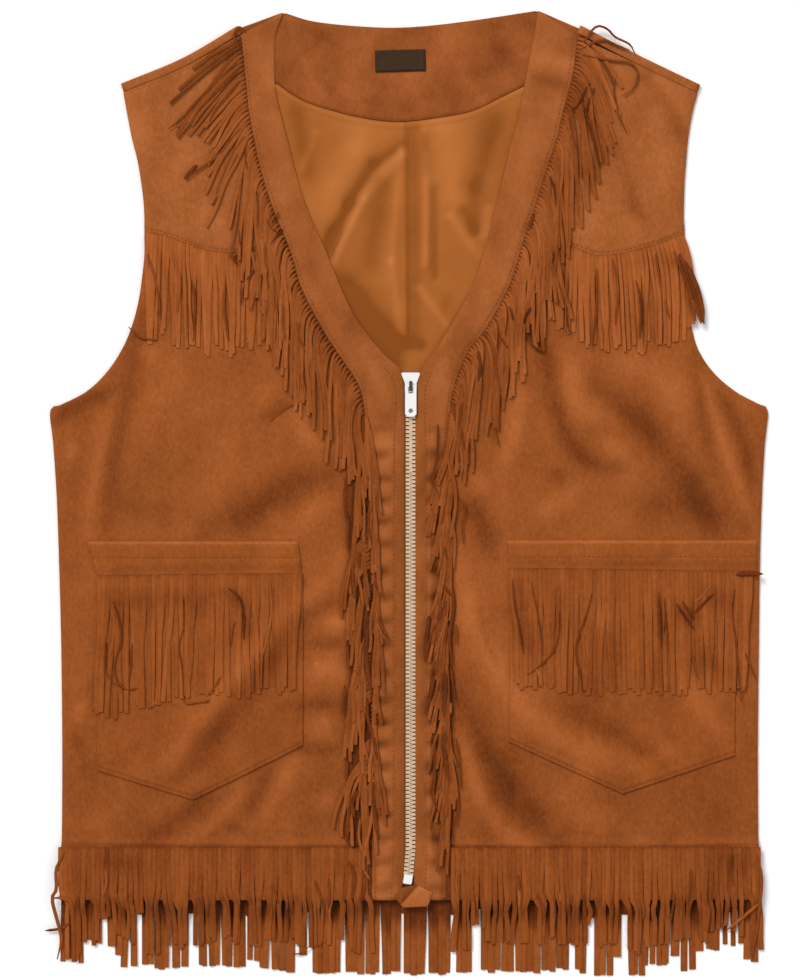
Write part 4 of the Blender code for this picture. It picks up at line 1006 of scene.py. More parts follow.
def makeCornerFold():
    points = np.array(cornerFold)
    top = pointsAt(points[:4], np.linspace(0, 1, 32))
    foot = pointsAt(points[[0, 5, 4, 3]], np.linspace(0, 1, 32))
    shares = np.linspace(0, 1, 16)[:, None, None]
    net = top[None] + (foot - top)[None] * shares
    u, v = np.linspace(0, 1, 32)[None, :], np.linspace(0, 1, 16)[:, None]
    x, y = net[..., 0], net[..., 1]
    floor = chainMiddle(0 * y - 280.0) + cloth["trim"] / 2 + cloth["gap"] + cloth["suede"] + 1.0
    beside = x - 0.2 - 0.86 * (y + 280.0)
    crease = bell(beside, 1.5)
    lift = 1.0 * np.sin(math.pi * v) * np.sin(math.pi * u) ** 0.7 - 0.8 * crease * np.sin(math.pi * v)
    net = np.concatenate([net, (floor + lift)[..., None]], axis=2)
    # Painted shade in the crease; lighter on one side of it and darker on the other, lighter along the top
    # edge, darker to the right
    tone = 0.24 * smooth((beside + 0.5) / 2.0) - 0.45 * smooth((0.8 - beside) / 2.0) - 0.35 * crease
    tone = tone + 0.3 * bell(v - 0.07, 0.07) * (beside > 1.0) - 0.12 * smooth((x - 10.0) / 5.0)
    obj = shell("hemCornerFold", net, 0.9, suedeYoke, tone)
    declare(obj, "vest")


for side in ("left", "right"):
    makeYoke(side)
    makeFront(side)
    makeBand(side)
    makeTape(side)
makeCornerFold()
print("fronts, yokes and bands made")


# Back, neck facing, lining and label

def shoulderFold(side):  # the shoulder's edge, its seam, and the line that the back rolls over
    outward = outwardNormal(side)
    edge = denseCurve(shoulder[side])
    seam = edge - outward * wrap["depth"]
    topOfYoke = frontTop(seam[:, 0], seam[:, 1])
    return seam, edge - outward * (topOfYoke / 2)[:, None], topOfYoke, outward


backCreases = [
    # x1, y1, x2, y2, halfWidth, height
    (-150, 215, -105, 120, 12, 0.30), (120, 225, 92, 110, 14, 0.28),
    (-40, 60, 30, -50, 16, 0.25), (60, -60, 140, -130, 13, 0.28),
    (-190, -40, -110, -90, 12, 0.30), (-80, -150, -30, -215, 12, 0.25),
]


def makeBack():
    outline = {side: denseSides[side] - [outwards[side] * 0.4, 0.0] for side in sections}
    folds = {side: shoulderFold(side)[1] for side in sections}
    top = np.concatenate([folds["left"], denseCurve(backNeck), folds["right"][::-1]])
    first = np.concatenate([folds["left"][:1], outline["left"]])
    last = np.concatenate([folds["right"][:1], outline["right"]])
    foot = straightLine(outline["left"][-1], outline["right"][-1], np.linspace(0, 1, 30))
    downShares = netShares(lengthsAlong(first)[-1], step=5.0)
    acrossShares = netShares(lengthsAlong(foot)[-1], step=5.0)
    net = sampledNet(top, foot, first, last, acrossShares, downShares)
    size, area = boxSize(net), netArea(net)
    x, y = net[..., 0], net[..., 1]
    net = np.concatenate([net, (cloth["suede"] + hemStep(y))[..., None]], axis=2)

    def underside(x, y):  # flat where it rests, with shallow hollows where the cloth lifts
        return hemStep(y) + np.maximum(foldHeight(x, y, backCreases) - 0.04, 0.0)

    obj = shell("back", net, cloth["suede"], suedeBack, 0.06 * unevenness(x, y), underside)
    declare(obj, "vest", "back_panel", size, area)


def makeShoulderRoll(side):  # the back wraps over the shoulder to a seam on the front
    seam, centre, top, outward = shoulderFold(side)
    rings = [
        np.column_stack([seam, top - 0.45]), np.column_stack([seam + outward * 0.5, top - 0.1]),
        np.column_stack([seam + outward * 1.4, top + 0.06]),
        np.column_stack([(seam + centre) / 2 + outward * 0.7, top]),
    ]
    for turn in np.radians(np.linspace(90, -90, wrap["turns"])):
        flat = centre + outward * (top / 2 * math.cos(turn))[:, None]
        rings.append(np.column_stack([flat, np.maximum(top / 2 * (1 + math.sin(turn)), 0.05)]))
    roll = np.stack(rings, axis=0)
    pull = roll[4:].mean(axis=0)[None] - roll
    pull /= np.maximum(np.linalg.norm(pull, axis=2)[..., None], 1e-6)
    inside = roll + pull * cloth["suede"] * 0.8
    rows, columns = roll.shape[:2]
    count = rows * columns
    outer = quadsOf(rows, columns)
    index = borderOf(rows, columns).tolist()
    faces = outer.tolist() + (outer[:, ::-1] + count).tolist()
    for here, after in zip(index, index[1:] + index[:1]):
        faces.append((after, here, here + count, after + count))
    vertices = np.concatenate([roll.reshape(-1, 3), inside.reshape(-1, 3)])
    if side == "left":
        faces = [tuple(reversed(f)) for f in faces]
    obj = addObject("shoulderRoll" + side.title(), vertices, faces, suedeYoke, np.full(len(vertices), 0.06))
    declare(obj, "vest")


facingCreases = [
    # x1, y1, x2, y2, halfWidth, height
    (-20, 320, -42, 280, 7, 0.5), (24, 316, 40, 280, 8, 0.45),
    (-70, 322, -76, 290, 6, -0.4), (62, 325, 70, 292, 6, -0.4),
    (4, 290, 8, 268, 5, 0.35),
]
# Painted light on the facing's ridges and painted shade in its troughs, mostly along its creases
facingShades = [
    # x1, y1, x2, y2, halfWidth, tone
    (-20, 328, -44, 282, 6, 0.18), (22, 328, 42, 284, 6, 0.16), (-60, 318, -86, 296, 5, -0.22),
    (58, 322, 76, 290, 5, -0.20), (0, 292, 10, 270, 4, 0.14), (-78, 312, -62, 280, 4, 0.16),
    (30, 290, 60, 300, 4, -0.12), (-30, 275, 0, 268, 4, -0.12),
]


def makeFacing():
    top, foot = denseCurve(facingTop), denseCurve(facingFoot)
    acrossShares = netShares(lengthsAlong(foot)[-1], False, False, 2.6)
    downShares = netShares(62.0, step=2.6)
    sidesOf = [np.array([top[k] + (foot[k] - top[k]) * s for s in downShares]) for k in (0, -1)]
    net = coonsNet(pointsAt(top, acrossShares), pointsAt(foot, acrossShares), *sidesOf)
    size, area = boxSize(net), netArea(net)
    floor = 2 * cloth["suede"] + cloth["gap"]
    x, y = net[..., 0], net[..., 1]
    net = np.concatenate([net, (floor + 0.22 * unevenness(x * 1.2, y * 1.2) + 0.25)[..., None]], axis=2)
    net[..., 2] += foldHeight(x, y, facingCreases)
    work = {"foot": {"dip": 0.55, "ripple": 0.08}, "top": {"dip": 0.5, "ripple": 0.03}}
    net = workEdges(net, work)
    tone = 0.07 * unevenness(x * 1.4, y * 1.4) - 0.06 - 0.1 * smooth((y - 315.0) / 14.0)
    tone = tone + foldHeight(x, y, facingShades)
    # Painted shade along the seam at the facing's foot
    tone = tone - 0.3 * bell(edgeDistances(net)["foot"], 1.1)
    obj = shell("neckFacing", net, cloth["suede"], suedeFacing, tone)
    declare(obj, "vest", "neck_facing", size, area)


liningFolds = [
    # x1, y1, x2, y2, halfWidth, height
    (-5, 243, -25, 230, 4, -1), (-25, 230, -40, 204, 4.5, -1.8), (-40, 204, -58, 168, 4.5, -2.4),
    (-30, 246, -58, 192, 10, 1.6), (-4, 236, -32, 204, 4, 1.2), (-32, 204, -52, 162, 4, 1.6),
    (-18, 214, -26, 164, 6, -0.9), (-5, 240, -12, 160, 3.5, 1), (-12, 160, -5, 110, 3.5, 0.9),
    (-2, 258, -1, 108, 1.6, 0.8), (4, 256, 5, 110, 5, -0.8), (12, 258, 13, 160, 2.4, 1.3),
    (18, 212, 18, 150, 3, -1.4), (28, 250, 34, 206, 10, 1.5), (30, 192, 48, 166, 3.6, 1.5),
    (38, 196, 46, 182, 3.5, -1), (58, 256, 44, 214, 8, -1.5), (44, 214, 46, 184, 5, -1.2),
    (56, 196, 53, 180, 4, 1), (8, 142, 25, 118, 4, 1.2), (-46, 142, -16, 106, 9, -1.4),
    (-40, 152, -16, 146, 6, 0.9), (-78, 262, -70, 226, 7, -1), (-66, 250, -74, 226, 3, 0.8),
]
# Painted light and shade along the lining's folds
liningFoldShading = [
    # x1, y1, x2, y2, halfWidth, tone
    (-5, 243, -25, 230, 3.4, -0.40), (-25, 230, -42, 202, 4.2, -0.46), (-42, 202, -58, 168, 4.2, -0.55),
    (-52, 182, -57, 168, 5, -0.55), (-36, 248, -56, 206, 13, 0.26), (-18, 252, -34, 240, 9, 0.16),
    (-4, 236, -32, 204, 3.4, 0.24), (-32, 204, -52, 162, 3.6, 0.34), (-18, 216, -27, 162, 7, -0.26),
    (-5, 240, -12, 160, 3.2, 0.24), (-12, 160, -5, 112, 3.6, 0.26), (-2, 258, -1, 112, 1.6, -0.30),
    (4, 256, 5, 112, 5, -0.24), (11, 250, 12, 240, 2.4, -0.20), (12, 220, 11, 160, 2.6, 0.30),
    (18, 212, 18, 152, 3, -0.30), (26, 252, 34, 210, 14, 0.34), (30, 192, 49, 165, 3.4, 0.26),
    (38, 198, 46, 182, 3.5, -0.30), (60, 258, 46, 214, 9, -0.34), (46, 214, 46, 186, 6, -0.30),
    (56, 198, 54, 180, 3.6, 0.30), (8, 142, 26, 117, 3.6, 0.34), (-46, 144, -14, 106, 11, -0.66),
    (-30, 118, -14, 104, 9, -0.40), (-44, 150, -18, 145, 5, 0.12), (-78, 264, -70, 224, 8, -0.30),
    (-64, 252, -74, 226, 2.6, 0.20), (-6, 106, 8, 104, 4, -0.60), (26, 136, 22, 120, 5, -0.16),
    (-24, 96, -8, 90, 5, -0.30), (78, 262, 68, 214, 7, -0.16),
]


def makeLining():
    top = denseCurve(facingFoot) - np.array([0.0, 0.6])
    left, right = denseCurve(liningSides["left"]), denseCurve(liningSides["right"])
    left[0], right[0] = top[0], top[-1]
    foot = np.array([left[-1] + (right[-1] - left[-1]) * s for s in np.linspace(0, 1, 20)])
    acrossShares = netShares(lengthsAlong(top)[-1], False, False, 2.2)
    downShares = netShares(lengthsAlong(left)[-1], False, False, 2.4)
    net = sampledNet(top, foot, left, right, acrossShares, downShares)
    size, area = boxSize(net), netArea(net)
    x, y = net[..., 0], net[..., 1]
    edge = np.minimum(distanceTo(left, x, y), distanceTo(right, x, y))
    inside = smooth((edge - 4.0) / 12.0) * smooth((y - 96.0) / 30.0) * smooth(distanceTo(top, x, y) / 9.0)
    lift = foldHeight(x, y, liningFolds) + 0.22 * unevenness(x * 1.3, y)
    base = cloth["suede"] + cloth["gap"] + cloth["satin"]
    fromFacing = distanceTo(top, x, y)
    ridge = 1.0 * bell(fromFacing - 1.5, 1.5)  # the turned edge beside the facing
    fold = 0.7 + np.maximum(lift, -0.7 + 0.08 * lift)
    net = np.concatenate([net, (base + ridge + fold * inside)[..., None]], axis=2)
    # Painted light and shade on the folds, a painted highlight on the turned edge, and painted shade in the
    # seam beside the facing
    tone = 1.2 * foldHeight(x, y, liningFoldShading) + 0.2 * bell(fromFacing - 1.8, 1.4)
    tone -= 0.16 * bell(fromFacing, 0.5)
    obj = shell("backLining", net, cloth["satin"], liningSatin, tone)
    declare(obj, "vest", "back_lining", size, area)


labelLook = {"size": (35.0, 15.0), "place": (-6.0, 302.0), "tilt": math.radians(1.5), "border": 1.6}


def onLabel(across, up):
    (x, y), turn = labelLook["place"], labelLook["tilt"]
    cosine, sine = math.cos(turn), math.sin(turn)
    return x + across * cosine - up * sine, y + across * sine + up * cosine


def makeLabel():
    halfX, halfY = (c / 2 for c in labelLook["size"])
    u, v = np.meshgrid(np.linspace(-halfX, halfX, 60), np.linspace(halfY, -halfY, 28))
    x, y = onLabel(u, v)
    inset = np.minimum(halfX - np.abs(u), halfY - np.abs(v))
    z = 2 * cloth["suede"] + cloth["gap"] + 1.35 + 0.22 * unevenness(x * 1.2, y * 1.2)
    z = z + 0.22 * bell(inset - labelLook["border"], 0.7) - 0.35 * bell(inset, 0.8)
    net = np.stack([x, y, z], axis=2)
    obj = shell("labelPatch", net, 0.9, labelWeave)
    declare(obj, "vest", "label_patch", labelLook["size"], None)
    corners = ((-0.94, 0.86), (0.94, 0.86), (0.94, -0.86), (-0.94, -0.86), (-0.94, 0.86))
    line = np.array([onLabel(a * halfX, b * halfY) for a, b in corners])
    line = pointsAt(line, np.linspace(0, 1, 60))
    height = 2 * cloth["suede"] + cloth["gap"] + 1.4 + 0.22 * unevenness(line[:, 0] * 1.2, line[:, 1] * 1.2)
    sew("label", np.column_stack([line, height]))


makeBack()
for side in ("left", "right"):
    makeShoulderRoll(side)
makeFacing()
makeLining()
makeLabel()
print("back, facing, lining and label made")


# Patch pockets and their bands

pockets = {
    "left": {
        "band": [(-224, -33.6), (-77.7, -33.6), (-74.9, -56), (-217.7, -57.6)],
        "pocket": [(-217.7, -57.9), (-74.2, -56.3), (-74.2, -176.4), (-150.5, -214.2), (-217.7, -193.9)],
    },
    "right": {
        "band": [(69.3, -32.9), (242.6, -32.9), (242.6, -54.6), (70, -52.5)],
        "pocket": [(70.7, -52.8), (228, -54.6), (227.5, -183.4), (149.1, -210), (70.7, -174.3)],
    },
}
pocketLook = {"edgeStitch": 2.6, "lift": 0.3, "bandLift": 0.75, "bandStitch": 11.5, "dip": 0.25}


def makePocket(side):
    shape = pockets[side]
    a, b, c, point, d = [np.array(p) for p in shape["pocket"]]
    width = np.linalg.norm(b - a)
    acrossShares = netShares(width)
    downShares = netShares(np.linalg.norm(d - a), first=False)
    half = np.linspace(0, 1, 30)
    foot = np.concatenate([straightLine(d, point, half), straightLine(point, c, half)[1:]])
    net = coonsNet(
        straightLine(a, b, acrossShares), pointsAt(foot, acrossShares),
        straightLine(a, d, downShares), straightLine(b, c, downShares),
    )
    size, area = boxSize(net), netArea(net)
    distances = edgeDistances(net)
    inset = np.minimum(np.minimum(distances["first"], distances["last"]), distances["foot"])
    net = withHeight(net, frontTop)
    net[..., 2] += cloth["suede"] + 0.15 + pocketLook["lift"] * smooth(inset / 26.0)
    edge = {"dip": pocketLook["dip"], "grooves": (pocketLook["edgeStitch"],), "ripple": 0.10}
    work = {name: edge for name in ("first", "last", "foot")}
    net = workEdges(net, work)
    sew("suede", pointsOnNet(net, "foot", pocketLook["edgeStitch"]))
    fromFoot = distances["foot"]
    # Painted shadow along the foot edge, painted shade in the stitched groove, and painted highlights on the
    # ridges beside them
    tone = napAndPaintedShade(net[..., 0], net[..., 1]) - 0.22 * bell(fromFoot, 0.8)
    tone = tone - 0.12 * bell(fromFoot - pocketLook["edgeStitch"], 0.8)
    tone = tone + 0.16 * bell(fromFoot - 1.4, 0.7) + 0.12 * bell(fromFoot - 5.0, 1.5)
    obj = shell("pocket" + side.title(), net, cloth["suede"], suedePocket, tone)
    declare(obj, "vest", "pocket_" + side, size, area)


def makePocketBand(side):
    a, b, c, d = [np.array(p) for p in pockets[side]["band"]]
    acrossShares = netShares(np.linalg.norm(b - a), step=2.4)
    downShares = netShares(np.linalg.norm(d - a), step=1.6)
    net = coonsNet(
        straightLine(a, b, acrossShares), straightLine(d, c, acrossShares),
        straightLine(a, d, downShares), straightLine(b, c, downShares),
    )
    size, area = boxSize(net), netArea(net)
    distances = edgeDistances(net)
    net = withHeight(net, frontTop)
    inset = np.minimum(distances["top"], distances["foot"])
    net[..., 2] += cloth["suede"] + 0.2 + pocketLook["bandLift"] * smooth(inset / 5.0)
    work = {
        "top": {"dip": 0.35, "grooves": (pocketLook["bandStitch"],), "ripple": 0.10},
        "foot": {"dip": 0.3, "ripple": 0.10},
        "first": {"dip": 0.8}, "last": {"dip": 0.8},
    }
    net = workEdges(net, work)
    net[..., 2] += 0.25 * bell(distances["top"] - 1.2, 1.2)
    sew("suede", pointsOnNet(net, "top", pocketLook["bandStitch"]))
    fromTop = distances["top"]
    # A painted highlight on the top edge's ridge, painted shade in the stitched groove, and painted shade and
    # light near the foot
    tone = 0.03 + napAndPaintedShade(net[..., 0], net[..., 1]) + 0.42 * bell(fromTop - 1.3, 0.9)
    tone = tone - 0.07 * bell(fromTop - pocketLook["bandStitch"], 0.9)
    fromFoot = distances["foot"]
    tone = tone - 0.16 * bell(fromFoot - 5.0, 2.4) + 0.16 * bell(fromFoot - 1.2, 1.3)
    obj = shell("pocketBand" + side.title(), net, cloth["suede"], suedePocket, tone)
    declare(obj, "vest", "pocket_band_" + side, size, area)


for side in ("left", "right"):
    makePocket(side)
    makePocketBand(side)
print("pockets made")


# Fringe: each strand is a narrow cut strip of suede that comes out of its seam, turns down and lies flat

strandLook = {
    "thick": 0.62, "rings": 20, "seamSink": 0.7, "sinkLength": 1.6, "wildShare": 0.14, "sharpAngle": 48,
    "strayWidth": 0.74, "strayTone": 0.62,
}
fringeCut = {"pocket": 100.0, "yoke": 82.0, "hem": 82.0, "backHem": 88.0, "band": 92.0}  # strands' cut length
strayLayers = {"pocket": 0.4, "yoke": 0.8, "hem": 0.8, "band": 0.9, "column": 1.7}  # height over the others
crossSection = np.array([
    # across, up, tone: painted shade on the strip's sides and underside, lightest on top
    (-0.5, -0.3, -0.30), (-0.5, 0.3, -0.26), (-0.36, 0.5, -0.02), (0.0, 0.56, 0.04),
    (0.36, 0.5, -0.02), (0.5, 0.3, -0.26), (0.5, -0.3, -0.30), (0.0, -0.5, -0.20),
])


def swayOf(pick, amount, turns):
    return pick.uniform(*amount), pick.uniform(*turns), pick.uniform(0, 6.3)


def strandPath(root, side, leanAtRoot, leanAtTip, bend, length, wander):
    rings = strandLook["rings"]
    run = length * np.linspace(0, 1, rings) ** 1.25  # closer rings near the root
    amount, turns, start = wander
    s = run / length
    lean = leanAtTip + (leanAtRoot - leanAtTip) * np.exp(-run / bend)
    sway = np.sin(2 * math.pi * turns * s + start) - math.sin(start)
    lean = np.radians(lean + amount * sway * smooth(s * 2.5))
    middle = (lean[1:] + lean[:-1]) / 2
    steps = np.column_stack([side * np.sin(middle), -np.cos(middle)]) * np.diff(run)[:, None]
    return np.array(root) + np.concatenate([[[0.0, 0.0]], np.cumsum(steps, axis=0)])


def strandMesh(name, strands, finish):
    thick = strandLook["thick"]
    vertices, faces, tones = [], [], []
    area = 0.0
    for strand in strands:
        path, width, roll = strand["path"], strand["width"], strand["roll"]
        ahead = np.gradient(path, axis=0)
        ahead /= np.maximum(np.linalg.norm(ahead, axis=1)[:, None], 1e-9)
        side = np.cross(ahead, [0.0, 0.0, 1.0])
        side /= np.maximum(np.linalg.norm(side, axis=1)[:, None], 1e-9)
        up = np.cross(side, ahead)
        turnedSide = side * np.cos(roll)[:, None] + up * np.sin(roll)[:, None]
        turnedUp = up * np.cos(roll)[:, None] - side * np.sin(roll)[:, None]
        rings = []
        for u, v, _ in crossSection:
            rings.append(path + turnedSide * (u * width)[:, None] + turnedUp * (v * thick))
        rings = np.stack(rings, axis=1)
        faces += ringFaces(len(path), len(vertices), len(crossSection))
        vertices += rings.reshape(-1, 3).tolist()
        # Each strand's edge value scales the painted shade on its sides
        tones += (strand["tone"][:, None] + strand["edge"] * crossSection[:, 2]).ravel().tolist()
        area += float(np.sum(np.linalg.norm(np.diff(path, axis=0), axis=1) * (width[1:] + width[:-1]) / 2))
    obj = addObject(name, vertices, faces, finish, tones)
    obj.data.set_sharp_from_angle(angle=math.radians(strandLook["sharpAngle"]))
    return obj, area


def layStrand(flat, width, roll, floor, layer, shingle=0.0, arch=0.0, tone=0.0, tip=0.9, root=1.0, edge=1.0):
    run = lengthsAlong(flat)
    s = run / run[-1]
    widths = width * (1 + (root - 1) * np.exp(-run / 4.0)) * (1 - (1 - tip) * s)
    sink = np.exp(-run / strandLook["sinkLength"])
    z = floor(flat[:, 0], flat[:, 1]) + strandLook["thick"] / 2
    z = z + np.abs(np.sin(roll)) * widths * 0.42 + layer * (1 - sink) + shingle * s ** 0.7
    z = z - strandLook["seamSink"] * sink + arch * smooth(run / 3.0) * np.exp(-run / 7.0)
    # Painted shade where the strand sinks into its seam, then the strokes' painted light and shade
    tones = tone - 0.3 * sink + 0.05 * np.sin(run / 7.0 + tone * 40)
    tones = tones + 0.8 * frontStrokes.at(flat[:, 0], flat[:, 1], 1)
    return {"path": np.column_stack([flat, z]), "width": widths, "roll": roll, "tone": tones, "edge": edge}


def finishFringe(name, strands, finish, node, cut):
    obj, area = strandMesh(name, strands, finish)
    declare(obj, "vest", node, cut, min(area, cut[0] * cut[1]))


def rollOf(pick, turn, start=0.0):
    s = np.linspace(0, 1, strandLook["rings"])
    sway = pick.uniform(-7, 7) * np.sin(3.5 * s + pick.uniform(0, 6))
    turned = turn * smooth((s - 0.15) * pick.uniform(1.0, 1.8)) + sway
    return np.radians(start * (1 - s) + turned * smooth(s * 4.0))


def strayStrand(stray, floor, layer):  # one strand listed point by point
    width, tone, *line = stray
    flat = pointsAt(denseCurve(np.reshape(line, (-1, 2))), np.linspace(0, 1, strandLook["rings"]))
    s = np.linspace(0, 1, len(flat))
    # Strays with a low tone are painted shade: the dark gaps between strands, and strands turned edge-on
    width, tone = strandLook["strayWidth"] * width, strandLook["strayTone"] * tone
    strand = layStrand(flat, width, np.radians(25) * np.ones(len(flat)), floor, layer, tone=tone)
    strand["width"] = strand["width"] * (0.3 + 0.7 * smooth(np.minimum(s, 1 - s) * 5.0))
    return strand


def onFront(x, y):
    return frontTop(x, y) + 0.05


def onPocket(x, y):
    return frontTop(x, y) + cloth["suede"] + 0.55


pocketFringe = {
    "left": {
        "line": [(-217.7, -57.6), (-74.9, -56)], "count": 45, "seed": 31,
        "ends": [(-217.7, 96), (-205, 99), (-185, 93), (-160, 88), (-110, 85), (-76, 80)],
        "strays": [
            # width, tone, then x, y, x, y and so on
            (2.4, -0.85, -207, -74, -202, -88, -201, -104, -205, -120, -203, -132, -197, -137, -189, -136),
            (2, -0.85, -211, -104, -212, -122, -207, -131, -201, -136),
            (2, -0.75, -193, -104, -194, -118, -196, -131),
            (1.8, -0.85, -157, -70, -157, -92, -160, -108, -158, -122, -157, -146),
            (1.6, -0.7, -156, -147.5, -148, -146, -139, -145),
            (2.2, -0.75, -130, -127, -135, -135, -141, -142),
            (2.8, -0.8, -127, -66, -119, -72, -115, -84, -115, -102),
            (1.8, -0.8, -121, -88, -123, -98, -124, -108), (2.6, 0.25, -206, -82, -206, -98, -208, -112),
            (2.2, 0.3, -155, -110, -154, -124), (2.6, 0.15, -97, -60, -96, -84, -100, -106, -106, -122),
        ],
    },
    "right": {
        "line": [(70.4, -52.5), (240, -54.6)], "count": 53, "seed": 32,
        "ends": [(70, 84), (130, 87), (190, 86), (242, 84)],
        "strays": [
            # width, tone, then x, y, x, y and so on
            (2.2, -0.75, 72, -58, 74, -78, 78, -98, 80, -112),
            (2, -0.75, 85, -60, 89, -80, 92, -98, 93, -113),
            (2.2, -0.8, 105, -80, 105, -98, 100, -112, 90, -122, 82, -127),
            (3.2, 0.45, 88, -121, 91, -127, 92, -134),
            (2.2, -0.85, 128, -68, 125, -82, 120, -96, 117, -106, 117, -116, 120, -128, 121, -139),
            (2.4, 0.15, 126, -82, 122, -102, 123, -120), (2, -0.7, 174, -68, 176, -90, 176, -108),
            (1.8, -0.7, 178, -72, 179, -86, 178, -98), (2.4, -0.8, 186, -76, 191, -84, 199, -95),
            (2, -0.7, 190, -74, 195, -82, 199, -88), (2.6, 0.6, 212, -62, 206, -70, 201, -75),
            (2.6, -0.85, 213, -70, 205, -78, 199, -84),
            (2, -0.85, 228, -64, 226, -82, 228, -102, 230, -124, 232, -146),
            (1.8, -0.7, 234, -110, 238, -120, 242, -130), (2.6, -0.5, 196, -110, 199, -118, 202, -130),
            (4.4, -1.1, 228, -57, 237, -56, 247, -56.5),
        ],
    },
}


def makePocketFringe(side):
    look = pocketFringe[side]
    pick = random.Random(look["seed"])
    start, end = np.array(look["line"][0]), np.array(look["line"][1])
    ends = np.array(look["ends"])
    pitch = np.linalg.norm(end - start) / look["count"]
    strands = []
    lean = 0.0
    for k in range(look["count"]):
        root = start + (end - start) * (k + 0.5) / look["count"]
        length = np.interp(root[0], ends[:, 0], ends[:, 1]) * pick.uniform(0.95, 1.02)
        lean = 0.7 * lean + pick.gauss(0, 0.7)
        wander = swayOf(pick, (0, 4.0), (0.8, 2.0))
        flat = strandPath(root, 1.0, 0.0, lean, 16.0, length, wander)
        roll = rollOf(pick, pick.uniform(-9, 9))
        layer = pick.choice([0.0, 0.05, 0.1, 0.16])
        width = pitch * pick.uniform(0.99, 1.10)
        tone = pick.gauss(-0.05, 0.07)
        edge = pick.uniform(0.2, 0.6)
        strands.append(layStrand(flat, width, roll, onPocket, layer, tone=tone, tip=0.95, edge=edge))
    for stray in look["strays"]:
        strands.append(strayStrand(stray, onPocket, strayLayers["pocket"]))
    cut, restsOn = (abs(end[0] - start[0]), fringeCut["pocket"]), "pocket_" + side
    finishFringe("pocketFringe" + side.title(), strands, fringeSuede, "pocket_fringe_" + side, cut)


yokeFringe = {
    "left": {
        "count": 34, "seed": 21,
        "table": [
            # share, leanAtRoot, leanAtTip, length
            (0, 8, -2, 80), (0.1, 2, 0, 72), (0.3, 0, 1, 74), (0.6, 0, 0, 72),
            (0.97, -3, 0, 66),
        ],
        "strays": [
            # width, tone, then x, y, x, y and so on
            (2.2, -0.4, -152, 150, -149, 132, -151, 112), (2.2, -0.3, -183, 168, -176, 144, -174, 122),
            (2, -0.5, -196, 116, -188, 109, -176, 107), (2, -0.3, -128, 148, -129, 130, -126, 106),
            (2.4, 0.25, -166, 170, -160, 148, -162, 126),
        ],
    },
    "right": {
        "count": 36, "seed": 22,
        "table": [
            # share, leanAtRoot, leanAtTip, length
            (0, 30, -6, 68), (0.08, 24, -2, 74), (0.25, 12, 0, 72), (0.6, 0, 0, 66),
            (0.97, -4, 0, 60),
        ],
        "strays": [
            # width, tone, then x, y, x, y and so on
            (6, -0.15, 185, 169, 195, 146, 200, 120), (6, -0.45, 189, 167, 199, 143, 204.5, 119),
            (6, -0.7, 193, 162, 202, 140, 206, 118), (3.4, 0.3, 195, 142, 201, 128, 204, 118),
            (2.2, -0.4, 158, 150, 162, 132, 161, 108), (2.2, -0.35, 131, 158, 131, 130, 128, 102),
            (2.2, -0.6, 110, 164, 108, 138, 112, 112), (2, -0.3, 142, 164, 146, 142, 144, 118),
            (2.2, -0.35, 172, 168, 176, 144, 182, 122),
        ],
    },
}


def makeYokeFringe(side):
    look = yokeFringe[side]
    pick = random.Random(look["seed"])
    line = yokeSeam(side)
    table = np.array(look["table"])
    pitch = lengthsAlong(line)[-1] * 0.95 / look["count"]
    strands = []
    drift = 0.0
    for k in range(look["count"]):
        share = 0.012 + 0.95 * (k + 0.5) / look["count"]
        root = pointsAt(line, [share])[0]
        leanAtRoot, leanAtTip, length = (np.interp(share, table[:, 0], table[:, c]) for c in (1, 2, 3))
        drift = 0.7 * drift + pick.gauss(0, 1.2)
        wander = swayOf(pick, (0, 4.5), (0.9, 2.2))
        length = length * pick.uniform(0.90, 1.03)
        flat = strandPath(root, outwards[side], leanAtRoot, leanAtTip + drift, 26.0, length, wander)
        wild = pick.random() < strandLook["wildShare"]
        roll = rollOf(pick, pick.uniform(-55, 55) if wild else pick.uniform(-10, 10))
        layer = pick.choice([0.3, 0.6] if wild else [0.0, 0.06, 0.12, 0.2])
        width = pitch * (pick.uniform(0.8, 0.95) if wild else pick.uniform(0.98, 1.10))
        edge, tone = pick.uniform(0.1, 0.5), pick.gauss(0.28, 0.07)
        strands.append(layStrand(flat, width, roll, onFront, layer, tone=tone, tip=0.92, edge=edge))
    for stray in look["strays"]:
        strands.append(strayStrand(stray, onFront, strayLayers["yoke"]))
    cut = (float(lengthsAlong(line)[-1]), fringeCut["yoke"])
    finishFringe("yokeFringe" + side.title(), strands, fringeSuede, "yoke_fringe_" + side, cut)


